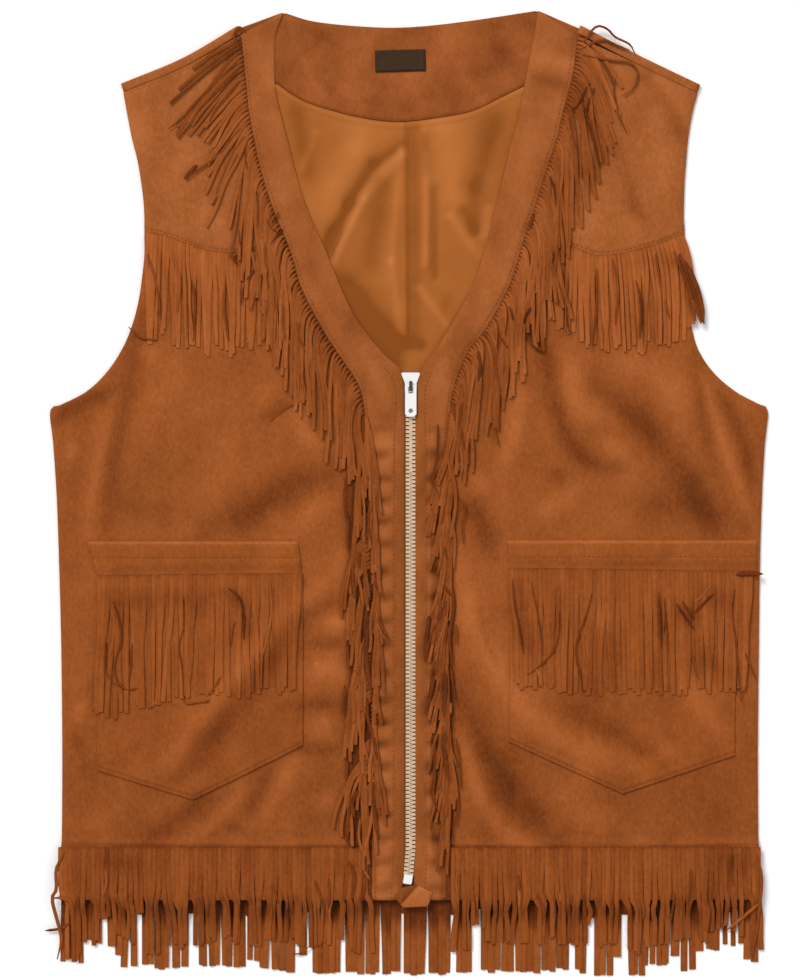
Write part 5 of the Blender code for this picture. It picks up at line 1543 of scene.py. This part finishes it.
hemFringe = {
    "hemFringeLeft": {"node": "hem_fringe_left", "from": -245, "to": -29, "count": 66, "seed": 41},
    "hemFringeRight": {"node": "hem_fringe_right", "from": 29, "to": 245.5, "count": 66, "seed": 42},
}
hemEnds = [
    # x, where the front's strands end
    (-246, -322), (-236, -326), (-226, -312), (-205, -306), (-190, -318), (-150, -316),
    (-90, -312), (-30, -318), (30, -316), (95, -314), (150, -318), (190, -316),
    (225, -306), (246, -318),
]
hemOpenings = [
    # x1, x2, where an opening in the front's strands begins
    (-217.5, -210, -296), (-191.5, -186.5, -293.5), (42, 51.5, -303), (124, 129, -302),
    (222, 225.5, -290),
]
hemBundles = [
    # leftX, rightX, y of the ends of the back's strands
    (-243, -236.5, -327), (-236.5, -230, -329), (-228, -221, -312), (-220.5, -215.5, -314),
    (-211.5, -206, -316), (-206, -201, -323.5), (-199.5, -191, -330.5), (-186.5, -179, -330.5),
    (-178.5, -167, -332.5), (-166.5, -161.5, -332.5), (-159, -154.5, -331), (-147.5, -141.5, -331),
    (-141, -128, -331), (-127, -115, -331), (-113, -106, -327.5), (-105, -97, -333),
    (-96.5, -87.5, -333.5), (-84.5, -79, -334.5), (-77, -72, -322.5), (-67.5, -55.5, -335.5),
    (-54.5, -41.5, -335.5), (-40.5, -27, -336), (-27, -17, -336), (-16, -5.5, -335.5),
    (-3.5, 8.5, -336.5), (9, 19.5, -336.5), (20, 30, -336), (33, 43.5, -335.5),
    (50.5, 64, -334.5), (66, 78, -335), (79, 92, -335), (93, 104, -334),
    (104.5, 112.5, -333.5), (115.5, 120.5, -334), (121, 125, -336.5), (129.5, 142, -336.5),
    (144, 149.5, -323.5), (152, 164, -337), (165, 172.5, -330.5), (173, 183, -329.5),
    (184.5, 190, -323), (191, 199.5, -334.5), (200.5, 206, -320.5), (207, 218.5, -320),
    (219.5, 222.5, -315.5), (225.5, 228.5, -317.5), (229.5, 233, -314), (235, 244, -327),
]
hemStrays = {
    "hemFringeLeft": [
        # width, tone, then x, y, x, y and so on
        (3.6, -0.1, -240, -250, -246, -262, -246, -276, -249, -283, -246, -298, -243, -312, -246, -326),
        (3, -0.7, -236, -300, -244, -304.5, -254.5, -306),
        (4.2, -0.3, -249, -283, -242, -282.5, -236, -286, -235, -300, -234, -328),
        (2.4, 0.35, -212, -262, -211, -272, -214, -282), (2.2, -0.7, -96, -272, -93, -280, -91, -286),
        (2.4, -0.75, -66, -270, -62, -280, -60, -288), (2.4, -0.75, -56, -268, -55, -280, -56, -290),
        (1.4, -0.5, -81, -322.5, -75, -321.5, -70, -317), (2.4, 0.3, -36, -255, -32, -262, -27, -270),
        (3.4, -0.7, -42, -256, -38, -268, -40, -284), (3, -0.75, -32, -262, -31, -274, -34, -286),
    ],
    "hemFringeRight": [
        # width, tone, then x, y, x, y and so on
        (3.2, 0.1, 222, -306, 230, -299, 238, -292, 245, -286),
        (3.6, -0.35, 243, -252, 246, -270, 244.5, -290, 243, -306, 239, -325),
        (2.2, -0.7, 186, -278, 184, -288, 183, -300), (3, -0.7, 197, -262, 197, -276, 194, -292),
        (2.4, -0.7, 76, -266, 77, -272, 77, -277), (2.8, -0.6, 226, -252, 225, -264, 227, -274),
        (2.6, 0.5, 76, -276, 77, -282, 76.5, -290), (3, 0.45, 105, -279, 105.5, -285),
        (2.4, 0.25, 34, -262, 33, -272, 34, -281),
    ],
}


def frontHemFloor(x, y):
    onHem = frontTop(x, np.maximum(y, cloth["hem"])) + 0.05
    fall = smooth((cloth["hem"] + 2.0 - y) / 22.0)
    return onHem + (1.3 - onHem) * fall


def underBackHem(x, y):
    return 0.12 + 0.0 * x


def makeHemFringe(name):
    look = hemFringe[name]
    pick = random.Random(look["seed"])
    pitch = (look["to"] - look["from"]) / look["count"]
    ends = np.array(hemEnds)
    strands = []
    left = 0
    for k in range(look["count"]):
        x = look["from"] + pitch * (k + 0.5)
        if left == 0:  # strands cling together in small bunches
            left = pick.randint(2, 4)
            middle = x + pitch * (left - 1) / 2
            block = pick.uniform(-5.0, 5.0)
            squeeze = pick.uniform(0.2, 0.5)
            sway, turned = pick.uniform(-1.0, 3.5), pick.uniform(-50, 50)
            knot, release = pick.uniform(-284.0, -276.0), pick.uniform(6.0, 22.0)
        left -= 1
        wander = swayOf(pick, (0, 3.0), (0.6, 1.4))
        endY = np.interp(x, ends[:, 0], ends[:, 1]) + block + pick.uniform(-1.5, 1.5)
        for x1, x2, top in hemOpenings:
            if x1 - 1.0 < x < x2 + 1.0:
                endY = top + pick.uniform(-2.0, 2.0)
        flat = strandPath((x, -247.4), 1.0, 0.0, pick.gauss(0, 1.0), 30.0, -247.4 - endY, wander)
        below = smooth((knot - flat[:, 1]) / 10.0)
        apart = below * (1.0 - 0.7 * smooth((knot - 9.0 - flat[:, 1]) / release))
        flat[:, 0] += squeeze * (middle - x) * apart + sway * below
        roll = rollOf(pick, pick.uniform(-12, 12)) + np.radians(turned) * apart
        width = pitch * pick.uniform(0.99, 1.08)
        layer = pick.choice([0.0, 0.06, 0.14, 0.26])
        strand = layStrand(flat, width, roll, frontHemFloor, layer, tone=pick.gauss(-0.18, 0.09), tip=0.96)
        strand["edge"] = pick.uniform(0.2, 0.6)
        # Painted shade across each strand where it falls over the body's hem edge
        hemShadeY, dark = pick.uniform(-294.0, -283.0), pick.uniform(0.0, 0.45)
        strand["tone"] = strand["tone"] - dark * bell(flat[:, 1] - hemShadeY, 4.5)
        strands.append(strand)
    for stray in hemStrays[name]:
        strands.append(strayStrand(stray, frontHemFloor, strayLayers["hem"]))
    cut = (look["to"] - look["from"], fringeCut["hem"])
    finishFringe(name, strands, fringeSuede, look["node"], cut)


def makeBackHemFringe():
    pick = random.Random(43)
    strands = []
    for leftX, rightX, endY in hemBundles:
        count = max(1, round((rightX - leftX) / 3.9))
        width = (rightX - leftX) / count
        for k in range(count):
            x = leftX + width * (k + 0.5)
            wander = swayOf(pick, (0, 1.6), (0.6, 1.4))
            lean, length = pick.gauss(0, 0.5), -250.0 - endY + pick.uniform(-1.2, 1.2)
            flat = strandPath((x, -250.0), 1.0, 0.0, lean, 30.0, length, wander)
            roll = rollOf(pick, pick.uniform(-12, 12)) * smooth((cloth["hem"] - 4.0 - flat[:, 1]) / 14.0)
            tone = pick.gauss(-0.08, 0.08)
            layer = pick.choice([0.0, 0.1])
            strand = layStrand(flat, width * 1.12, roll, underBackHem, layer, tone=tone, tip=0.98)
            strand["path"][:, 2] = np.maximum(strand["path"][:, 2], 0.45)
            # Painted shade on the upper part, where the strands lie under the front's fringe and hem
            strand["tone"] = strand["tone"] - 0.7 * smooth((flat[:, 1] + pick.uniform(302.0, 316.0)) / 14.0)
            strand["edge"] = 0.7
            strands.append(strand)
    for (_, x1, _), (x2, _, _) in zip(hemBundles[:-1], hemBundles[1:]):  # the slits begin lower than the seam: uncut strips, painted dark as shade
        endY = pick.uniform(-298.0, -290.0)
        flat = strandPath(((x1 + x2) / 2, -250.0), 1.0, 0.0, 0.0, 30.0, -250.0 - endY, (0.0, 1.0, 0.0))
        level = np.zeros(len(flat))
        strand = layStrand(flat, x2 - x1 + 2.4, level, underBackHem, 0.05, tone=-0.75, tip=0.8)
        strand["path"][:, 2] = np.maximum(strand["path"][:, 2], 0.45)
        strands.append(strand)
    cut = (487.0, fringeCut["backHem"])
    finishFringe("hemFringeBack", strands, fringeSuede, "hem_fringe_back", cut)


bandFringe = {
    "bandFringeLeft": {
        "node": "band_fringe_left", "side": "left", "count": 176, "seed": 11, "width": 2.75, "over": 0.32,
        "table": [
            # rootY, leanAtRoot, leanAtTip, bend, length, spread, loose, layers, shingle, tone, edge
            (320, 60, 47, 9, 40, 4, 0.2, 0.8, 0.3, -0.10, 0.7),
            (311, 58, 45, 9, 72, 2, 0.2, 0.8, 0.3, -0.34, 0.6),
            (299, 58, 43, 9, 66, 2.5, 0.2, 0.8, 0.3, -0.12, 0.4),
            (288, 58, 38, 8, 46, 3, 0.2, 0.8, 0.3, 0.14, 0.3),
            (270, 60, 34, 7, 44, 4, 0.3, 0.8, 0.3, 0.24, 0.2),
            (256, 62, 30, 6, 62, 3, 0.3, 0.8, 0.3, 0.12, 0.5),
            (244, 64, 6, 4.5, 82, 2.5, 0.3, 0.9, 0.4, 0.10, 0.5),
            (200, 66, 0, 4, 84, 2.5, 0.4, 0.9, 0.5, 0.08, 0.5),
            (150, 68, -1, 4, 78, 3, 0.4, 0.9, 0.6, 0.12, 0.5),
            (90, 72, -2, 4, 74, 2.5, 0.6, 0.9, 0.8, -0.02, 0.7),
            (60, 80, 0, 5.5, 66, 2, 0.7, 0.7, 1, -0.04, 0.8),
            (35, 88, 0, 7, 62, 1.5, 0.75, 0.6, 1.3, -0.10, 0.8),
            (-212, 88, 0, 7.5, 60, 1.8, 0.75, 0.6, 1.3, -0.12, 0.8),
        ],
        "strays": [
            # width, tone, then x, y, x, y and so on
            (3, -0.55, -118, 302, -130, 291, -146, 275, -158, 262, -168, 254),
            (3, -0.6, -117, 297, -128, 286, -142, 272, -152, 260),
            (3, -0.55, -116, 290, -124, 280, -134, 268, -139, 259),
            (2.6, -0.35, -113, 258, -124, 247, -133, 236, -146, 226, -156, 219),
            (2.6, -0.3, -112, 252, -122, 238, -130, 220, -136, 203),
            (3.4, -0.7, -148, 229, -153, 224, -157, 219), (3, -0.6, -132, 208, -134, 205, -136, 202),
            (2.4, -0.7, -111, 250, -114, 238, -113, 226),
            (2.6, -1, -117, 308, -122, 318, -119, 325, -114, 322),
            (2, -0.8, -117, 304, -124, 308, -128, 303), (2.4, -0.8, -88, 184, -93, 178, -97, 172),
            (2.4, -0.8, -90, 180, -96, 184, -99, 190), (2.2, -0.7, -98, 186, -94, 192, -91, 196),
            (3.4, -0.9, -120, 166, -122, 163, -120, 160),
            (2.4, -0.7, -108, 156, -112, 150, -116, 140, -117, 132),
            (2.2, -0.5, -100, 178, -100, 160, -99, 156), (2.2, -0.45, -106, 214, -105, 196, -107, 176),
            (2.6, 0.35, -110, 170, -108, 160, -107, 154), (2.6, -0.5, -88, 134, -87, 118, -86, 104),
            (3, -0.5, -78, 122, -76, 108, -72, 98), (2.2, -0.6, -118, 186, -118, 176, -117, 172),
            (2.6, -0.1, -92, 150, -89, 120, -80, 96, -72, 66, -84, 61, -98, 51),
            (2.8, -0.8, -43, 14, -45, -2, -44, -20), (2.6, -0.8, -42, -16, -43, -28, -43, -40),
            (4.4, -0.9, -39, -52, -39, -62, -38, -73), (3, -0.8, -34, -40, -35, -52),
            (2.6, -0.75, -28, -8, -28, -22, -26, -36), (2.4, -0.8, -24, -54, -23, -62, -22, -68),
            (2.6, -0.7, -22, -84, -19, -93, -14, -102), (2, 0.3, -23, -80, -21, -94, -15, -104),
            (4.6, -0.9, -28, -90, -30, -104, -29, -124, -26, -138), (2.6, -0.8, -43, -104, -42, -124),
            (2.6, -0.7, -45, -134, -46, -148, -47, -156), (3, -0.7, -43, -186, -44, -200),
            (3.6, -0.9, -29, -142, -29, -156, -25, -170, -22, -186),
            (5, -0.9, -34, -206, -40, -216, -38, -226), (3.4, -0.8, -41, -216, -42, -230, -44, -243),
            (3.6, -0.9, -25, -200, -24, -222, -22, -240), (2.8, 0.2, -36, -56, -33, -70, -32, -80),
            (3, 0.2, -33, -104, -35, -120), (2.4, 0.2, -31, -158, -32, -172, -28, -188),
            (2.8, 0.2, -34, -226, -35, -240, -32, -252),
        ],
    },
    "bandFringeRight": {
        "node": "band_fringe_right", "side": "right", "count": 98, "seed": 12, "width": 2.8, "over": 0.5,
        "table": [
            # rootY, leanAtRoot, leanAtTip, bend, length, spread, loose, layers, shingle, tone, edge
            (320, 88, 26, 12, 52, 8, 0.3, 0.9, 0.3, 0.02, 0.7),
            (308, 84, 16, 10, 62, 6, 0.3, 0.9, 0.3, 0.02, 0.6),
            (292, 78, 8, 8, 72, 4, 0.3, 0.9, 0.3, -0.10, 0.6),
            (270, 74, 3, 6, 80, 3, 0.3, 0.9, 0.4, -0.14, 0.6),
            (240, 70, 0, 4.5, 88, 2.5, 0.4, 0.9, 0.5, 0.06, 0.6),
            (200, 70, -1, 4.5, 86, 3.5, 0.5, 0.9, 0.6, 0.08, 0.6),
            (150, 70, -2, 4.5, 82, 3.5, 0.6, 0.9, 0.6, 0.06, 0.6),
            (90, 72, -4, 5, 70, 3, 0.7, 0.9, 0.8, -0.06, 0.7),
            (62, 76, -5, 5.5, 62, 3, 0.9, 0.7, 1.1, -0.12, 0.8),
        ],
        "strays": [
            # width, tone, then x, y, x, y and so on
            (2.2, -0.55, 119, 306, 142, 302, 155, 300, 160, 292, 156.5, 282, 149, 277),
            (2.8, -0.75, 134, 302, 139, 294, 143, 284),
            (1.6, -0.6, 145, 292, 143, 282, 145, 270, 147, 262, 152, 251),
            (2.4, -0.7, 120, 312, 130, 325, 138, 324, 144, 318, 154, 313, 158, 306),
            (2.2, -0.7, 118, 309, 134, 316, 146, 312, 154, 309),
            (3, -0.9, 126, 286, 122, 278, 118, 270, 112, 266), (3.4, -0.9, 130, 284, 126, 272, 122, 262),
            (3.4, -0.85, 122, 270, 126, 256, 130, 242, 133, 228), (3.2, -0.8, 112, 264, 114, 252, 117, 240),
            (3.4, -0.85, 98, 222, 102, 212, 103, 200), (3, -0.85, 88, 196, 86, 190, 84, 184),
            (4.4, -0.95, 101, 170, 102, 164, 100, 159), (4, -0.9, 70, 132, 72, 126, 73, 120),
            (5, -0.95, 86, 130, 83, 124, 80, 118), (2.6, -0.7, 82, 112, 86, 104, 94, 98),
            (3, -0.8, 62, 114, 66, 106, 70, 100), (2.4, 0.4, 126, 274, 127, 262, 126, 258),
            (2.6, 0.15, 135, 262, 136, 250, 139, 240), (2.4, -0.4, 66, 118, 60, 84, 58, 56, 63, 32),
            (3.4, -0.85, 48, 100, 50, 88, 48, 78), (2.6, -0.8, 38, 66, 36, 50, 39, 30),
            (2.6, -0.9, 20, 48, 20, 30, 17, 10, 20, 0), (2.6, 0.2, 35, 36, 37, 22, 36, 10),
            (2.6, 0.15, 27, 36, 28, 18, 31, 6),
        ],
    },
    "bandFringeRightLow": {
        "node": "band_fringe_right_low", "side": "right", "count": 104, "seed": 13, "width": 2.6, "over": 0,
        "table": [
            # rootY, leanAtRoot, leanAtTip, bend, length, spread, loose, layers, shingle, tone, edge
            (58, 40, -9, 5, 62, 2.5, 0.9, 0.6, 1.3, -0.14, 0.8),
            (-40, 20, -10, 5, 60, 2.5, 1, 0.6, 1.4, -0.16, 0.8),
            (-120, 10, -9, 5, 60, 3, 1, 0.6, 1.4, -0.20, 0.8),
            (-212, 30, -5, 5, 60, 3, 1, 0.6, 1.4, -0.18, 0.8),
        ],
        "strays": [
            # width, tone, then x, y, x, y and so on
            (2, -0.5, 34, -2, 39, -10, 37, -24, 38, -36), (3.4, -0.85, 26, -36, 27, -48),
            (3.4, -0.9, 24, -58, 26, -66, 30, -72), (3.2, -0.9, 30, -64, 31, -80, 28, -100, 30, -118),
            (3.2, -0.85, 26, -70, 22, -86, 14, -104, 12, -118), (4.2, -0.9, 14, -86, 12, -102, 11, -118),
            (2.2, 0.25, 28, -86, 22, -100, 17, -114), (2.6, 0.2, 20, -76, 18, -92),
            (1.8, 0.1, 24, -84, 20, -96, 15, -108), (4.6, -0.9, 17, -126, 15, -140, 11, -154),
            (5, -0.9, 25, -122, 25, -140, 24, -156), (2.2, -0.7, 29, -120, 31, -136, 33, -146),
            (5.6, -0.95, 26, -164, 25, -180, 28, -200), (2.2, -0.7, 33, -172, 35, -190, 36, -206),
            (3.6, -0.9, 18, -172, 18, -190, 17, -210, 20, -222), (2.6, -0.8, 34, -208, 34, -222, 32, -232),
            (3.2, 0.3, 29, -146, 29, -154), (2.4, 0.15, 21, -122, 20, -136), (2, 0.2, 30, -180, 33, -190),
            (2.6, 0.25, 22, -30, 22, -46, 20, -56), (2.8, 0.15, 30, -20, 32, -34, 31, -52),
            (2.6, 0.05, 24, -196, 24, -212, 26, -226), (2.4, -0.5, 33, -92, 33, -106),
        ],
    },
}


def bandTopAt(side, x, y):  # top of the straight stretch of a band
    innerX, seamX = sections[side][18][4], sections[side][18][2]
    share = np.clip((x - innerX) / (seamX - innerX), 0, 1)
    inner = np.stack([innerX + 0 * y, y], axis=-1)
    seam = np.stack([seamX + 0 * y, y], axis=-1)
    return bandHeight(inner, seam, share) + cloth["suede"] + bandLook["crown"] * np.sin(math.pi * share)


def makeBandFringe(name):
    look = bandFringe[name]
    side = look["side"]
    sign = outwards[side]
    pick = random.Random(look["seed"])
    table = np.array(look["table"])
    seam = denseSeams[side]
    inside = seam[(seam[:, 1] <= table[0, 0]) & (seam[:, 1] >= table[-1, 0])]
    roots = pointsAt(inside, (np.arange(look["count"]) + 0.5) / look["count"])
    strands = []
    edgeX = abs(sections[side][18][2])

    def floor(x, y):
        onBand = smooth((edgeX + 0.8 - np.abs(x)) / 2.4) * smooth((66.0 - y) / 8.0)
        z = onFront(x, y)
        if np.max(onBand) > 0:
            z = z + (bandTopAt(side, x, y) - z) * onBand
        onYokeFringe = smooth((180.0 - y) / 10.0) * smooth((y - 90.0) / 14.0)
        return z + 0.9 * (onYokeFringe * smooth((np.abs(x) - 78.0) / 10.0))

    left, bunch = 0, 0.0
    for root in roots:
        values = [np.interp(-root[1], -table[:, 0], table[:, c]) for c in range(1, 11)]
        leanAtRoot, leanAtTip, bend, length, spread, loose, layers, shingle, tone, edge = values
        if left == 0:  # a few neighbours cling together
            left, bunch = pick.randint(2, 4), pick.gauss(0, spread)
            far, dark = pick.uniform(-1, 1), pick.gauss(0, 0.10)
            over = pick.random() < look["over"] * smooth((66.0 - root[1]) / 12.0)  # falls on the band's side
        left -= 1
        lean = bunch + pick.gauss(0, spread * 0.3)
        wander = swayOf(pick, (1.0, 7.0), (0.8, 2.4))
        length = length * pick.uniform(0.84, 1.06)
        bend = (0.22 if over else 1.0) * bend * math.exp(far * loose + pick.gauss(0, 0.1))
        leanAtRoot = -0.8 * leanAtRoot if over else leanAtRoot
        flat = strandPath(root, sign, leanAtRoot + pick.gauss(0, 3), leanAtTip + lean, bend, length, wander)
        wild = pick.random() < strandLook["wildShare"]
        roll = rollOf(pick, pick.uniform(-60, 60) if wild else pick.uniform(-14, 14), -10.0 * sign)
        layer = pick.uniform(0.1, layers)
        width = look["width"] * (pick.uniform(0.72, 0.92) if wild else pick.uniform(0.9, 1.08))
        tone = tone + dark + pick.gauss(0.02, 0.06)
        edge = edge * pick.uniform(0.7, 1.3)
        foot = 0.6 if root[1] > 56.0 else 1.05  # narrow at the seam where the roots show
        strands.append(layStrand(flat, width, roll, floor, layer, shingle, 0.4, tone, 0.9, foot, edge))
    for stray in look["strays"]:
        where = "column" if abs(stray[2]) < 50 else "band"
        strands.append(strayStrand(stray, floor, strayLayers[where]))
    cut = (float(lengthsAlong(inside)[-1]), fringeCut["band"])
    finishFringe(name, strands, fringeDark, look["node"], cut)


for side in ("left", "right"):
    makeYokeFringe(side)
    makePocketFringe(side)
for name in hemFringe:
    makeHemFringe(name)
makeBackHemFringe()
for name in bandFringe:
    makeBandFringe(name)
print("fringes made")


# Stitches

for group, finish in (("suede", seamThread), ("label", labelWeave)):
    obj = makeStitches(group + "Stitches", stitchLines[group], finish)
    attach(obj, "vest")
print("stitches made")


# Zip: teeth, slider, pull tab and bottom stop

zipLook = {"pitch": 2.8, "top": 68.0, "bottom": -268.0, "tooth": 1.9, "stop": -270.0}
toothOutline = [
    # across from the tape, along the chain
    (-0.3, -1.05), (2, -1.05), (2.5, -1.28), (3.6, -1.18), (4.3, -0.7),
    (4.3, 0.7), (3.6, 1.18), (2.5, 1.28), (2, 1.05), (-0.3, 1.05),
]


def rounded(outline, low, high, bevel, grow=1.0):  # an outline as rings from low to high, with softened edges
    outline = np.array(outline, dtype=float)
    centre = (outline.max(axis=0) + outline.min(axis=0)) / 2
    size = np.ptp(outline, axis=0) / 2
    rings = []
    for height, inset in ((low, bevel), (low + bevel, 0.0), (high - bevel, 0.0), (high, bevel)):
        shrink = 1.0 - grow * inset / size
        rings.append(np.column_stack([centre + (outline - centre) * shrink, np.full(len(outline), height)]))
    return np.stack(rings, axis=0)


def makeTeeth():
    vertices, faces = [], []
    count = int((zipLook["top"] - zipLook["bottom"]) / zipLook["pitch"])
    for side, shift in ((-1.0, 0.0), (1.0, 0.5)):
        outline = np.array(toothOutline)
        for k in range(count):
            y = zipLook["top"] - (k + shift) * zipLook["pitch"]
            x, z = zipX(y), chainMiddle(np.array(y))
            flat = np.column_stack([x + side * (3.25 - outline[:, 0]), y + outline[:, 1]])
            if side > 0:
                flat = flat[::-1]
            rings = rounded(flat, z - zipLook["tooth"] / 2, z + zipLook["tooth"] / 2, 0.28)
            faces += ringFaces(4, len(vertices), len(outline))
            vertices += rings.reshape(-1, 3).tolist()
    obj = addObject("zipTeeth", vertices, faces, teethMetal)
    obj.data.set_sharp_from_angle(angle=math.radians(38))
    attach(obj, "vest")
    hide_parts("zip_chain")


def plate(outline, low, high, bevel=0.25, holes=()):  # a flat part with rounded edges and holes
    vertices, faces = [], []
    caps = {0: [], 3: []}
    for loop, grow in [(outline, 1.0)] + [(hole, -1.0) for hole in holes]:
        rings = rounded(loop, low, high, bevel, grow)
        start, count = len(vertices), len(loop)
        vertices += [tuple(v) for v in rings.reshape(-1, 3)]
        for j in range(3):
            for k in range(count):
                after = (k + 1) % count
                faces.append((start + j * count + k, start + j * count + after,
                              start + (j + 1) * count + after, start + (j + 1) * count + k))
        for level in caps:
            caps[level].append(range(start + level * count, start + (level + 1) * count))
    for loops in caps.values():
        order = [i for loop in loops for i in loop]
        triangles = tessellate_polygon([[vertices[i] for i in loop] for loop in loops])
        faces += [tuple(order[i] for i in triangle) for triangle in triangles]
    return vertices, faces


def ovalLoop(x, y, halfX, halfY):
    turns = [2 * math.pi * k / 20 for k in range(20)]
    return [(x + halfX * math.cos(t), y + halfY * math.sin(t)) for t in turns]


def boxLoop(x1, y1, x2, y2, corner=0.4):
    spots = []
    for x, y, start in ((x2, y2, 0), (x1, y2, 90), (x1, y1, 180), (x2, y1, 270)):
        cx, cy = x - math.copysign(corner, x - (x1 + x2) / 2), y - math.copysign(corner, y - (y1 + y2) / 2)
        for t in (0, 30, 60, 90):
            angle = math.radians(start + t)
            spots.append((cx + corner * math.cos(angle), cy + corner * math.sin(angle)))
    return spots


def makeHardware(name, parts, finish, node, body):
    vertices, faces = [], []
    for partVertices, partFaces in parts:
        faces += [tuple(i + len(vertices) for i in face) for face in partFaces]
        vertices += partVertices
    obj = addObject(name, vertices, faces, finish)
    mesh = bmesh.new()
    mesh.from_mesh(obj.data)
    bmesh.ops.recalc_face_normals(mesh, faces=mesh.faces)
    mesh.to_mesh(obj.data)
    mesh.free()
    obj.data.shade_smooth()
    obj.data.set_sharp_from_angle(angle=math.radians(35))
    declare(obj, body, node)


slider = {
    "bottom": 70.0, "neck": 77.0, "top": 84.0, "narrow": 4.2, "wide": 6.7,
    "levels": (2.8, 3.7, 6.3, 7.2), "pivot": (74.5, 8.15), "tabLength": 22.0, "tabHalf": 4.0, "tabThick": 1.2,
}


def makeSlider():
    look = slider
    x, low, lowTop, highFoot, high = chain["x"], *look["levels"]
    narrow, wide = look["narrow"], look["wide"]
    half = [
        (narrow - 1.1, look["bottom"]), (narrow - 0.3, look["bottom"] + 0.3), (narrow, look["bottom"] + 1.1),
        (narrow, look["neck"] - 0.6), (narrow + 0.35, look["neck"] + 0.6), (wide - 0.25, look["top"] - 1.3),
        (wide - 0.3, look["top"] - 0.5), (wide - 0.9, look["top"]),
    ]
    outline = [(x + a, y) for a, y in half] + [(x - a, y) for a, y in half[::-1]]
    parts = [plate(outline, low, lowTop), plate(outline, highFoot, high, 0.35)]
    for side in (-1.0, 1.0):
        x1, x2 = x + side * (narrow - 0.9), x + side * narrow
        rail = boxLoop(x1, look["bottom"] + 0.8, x2, look["neck"] - 1.0, 0.3)
        parts.append(plate(rail, lowTop - 0.1, highFoot + 0.1, 0.05))
    wedgeTop, wedgeFoot = look["top"] - 0.8, look["top"] - 4.6
    wedge = [(x - 1.3, wedgeTop), (x + 1.3, wedgeTop), (x + 0.7, wedgeFoot), (x - 0.7, wedgeFoot)]
    parts.append(plate(wedge, lowTop - 0.1, highFoot + 0.1, 0.05))
    makeHardware("zipSlider", parts, sliderMetal, "zip_slider", "vest")
    # The crown in dark metal, painted shade for the slider's hollow
    crown = []
    for y in (71.0, 76.9):
        crown.append(plate(boxLoop(x - 0.9, y, x + 0.9, y + 1.1, 0.3), high - 0.2, high + 2.3, 0.05))
    crown.append(plate(boxLoop(x - 1.1, 71.0, x + 1.1, 78.0, 0.9), high + 1.9, high + 2.8, 0.3))
    makeHardware("sliderCrown", crown, crownShadeMetal, None, "vest")


def makeTab():
    look = slider
    x, (pivotY, pivotZ) = chain["x"], look["pivot"]
    head, foot = pivotY + 0.6, pivotY + 0.6 - look["tabLength"]
    half = look["tabHalf"]
    side = [
        (half - 2.0, foot), (half - 1.5, foot + 0.2), (half - 0.25, foot + 1.6), (half, foot + 2.1),
        (half, head - 1.2), (half - 0.3, head - 0.4), (half - 1.0, head),
    ]
    outline = [(x + a, y) for a, y in side] + [(x - a, y) for a, y in side[::-1]]
    slot = boxLoop(x - 1.6, pivotY - 4.95, x + 1.6, pivotY - 0.55, 0.9)
    hole = ovalLoop(x, foot + 4.2, 1.5, 1.6)
    low = pivotZ - look["tabThick"] / 2
    parts = [plate(outline, low, low + look["tabThick"], 0.3, [slot, hole])]
    makeHardware("pullTab", parts, sliderMetal, "pull_tab", "pull")


def makeStop():
    y = zipLook["stop"]
    x, z = zipX(y) - 0.4, float(chainMiddle(np.array(y)))
    turn = math.radians(-9)
    loop = [(a * math.cos(turn) - b * math.sin(turn), a * math.sin(turn) + b * math.cos(turn))
            for a, b in boxLoop(-3.2, -3.2, 3.2, 3.4, 0.8)]
    parts = [plate([(x + a, y + b) for a, b in loop], z - 1.0, z + 1.6, 0.5)]
    makeHardware("zipStop", parts, sliderMetal, "zip_stop", "vest")


makeTeeth()
makeSlider()
makeTab()
makeStop()
print("zip made")


# Floor, light and camera

studio = {
    "floorHalf": 3000.0, "floorColour": (0.95, 0.95, 0.95), "floorShade": (0.88, 0.88, 0.88),
    "world": 0.55, "sunPower": 2.35, "sunSpread": 26.0, "sunFrom": (-0.62, 0.85, 0.95),
    "fillPower": 0.45, "fillSpread": 60.0, "fillFrom": (0.9, -0.4, 0.8),
}


def makeFloor():
    half = studio["floorHalf"]
    corners = [(-half, -half, 0), (half, -half, 0), (half, half, 0), (-half, half, 0)]
    finish = Finish("paleFloor")
    speckle = finish.noise(finish.place(), 2.0)
    shades = [(*studio[name], 1.0) for name in ("floorColour", "floorShade")]
    finish.set(Base_Color=finish.mix(speckle * 0.2, *shades), Roughness=0.95)
    obj = addObject("floor", corners, [(0, 1, 2, 3)], finish.material)


def makeSun(name, towards, power, spread):
    light = bpy.data.lights.new(name, "SUN")
    light.energy = power
    light.angle = math.radians(spread)
    obj = bpy.data.objects.new(name, light)
    obj.location = towards
    obj.rotation_euler = obj.location.to_track_quat("Z", "Y").to_euler()
    bpy.context.scene.collection.objects.link(obj)


def makeWorld():
    world = bpy.data.worlds.new("studio")
    bpy.context.scene.world = world
    world.use_nodes = True
    world.node_tree.nodes["Background"].inputs["Color"].default_value = (1.0, 0.99, 0.975, 1.0)
    world.node_tree.nodes["Background"].inputs["Strength"].default_value = studio["world"]


view = {"centre": (-6.3, 2.1), "height": 686.0, "lens": 100.0, "sensor": 36.0}


def makeCamera():
    camera = bpy.data.cameras.new("camera")
    camera.lens = view["lens"]
    camera.sensor_width = view["sensor"]
    obj = bpy.data.objects.new("camera", camera)
    distance = view["height"] * view["lens"] / view["sensor"]
    obj.location = (view["centre"][0] * mm, view["centre"][1] * mm, distance * mm)
    bpy.context.scene.collection.objects.link(obj)
    bpy.context.scene.camera = obj


makeFloor()
makeWorld()
makeSun("keyLight", studio["sunFrom"], studio["sunPower"], studio["sunSpread"])
makeSun("fillLight", studio["fillFrom"], studio["fillPower"], studio["fillSpread"])
makeCamera()
bpy.context.scene.view_settings.view_transform = "Standard"
print("studio made")
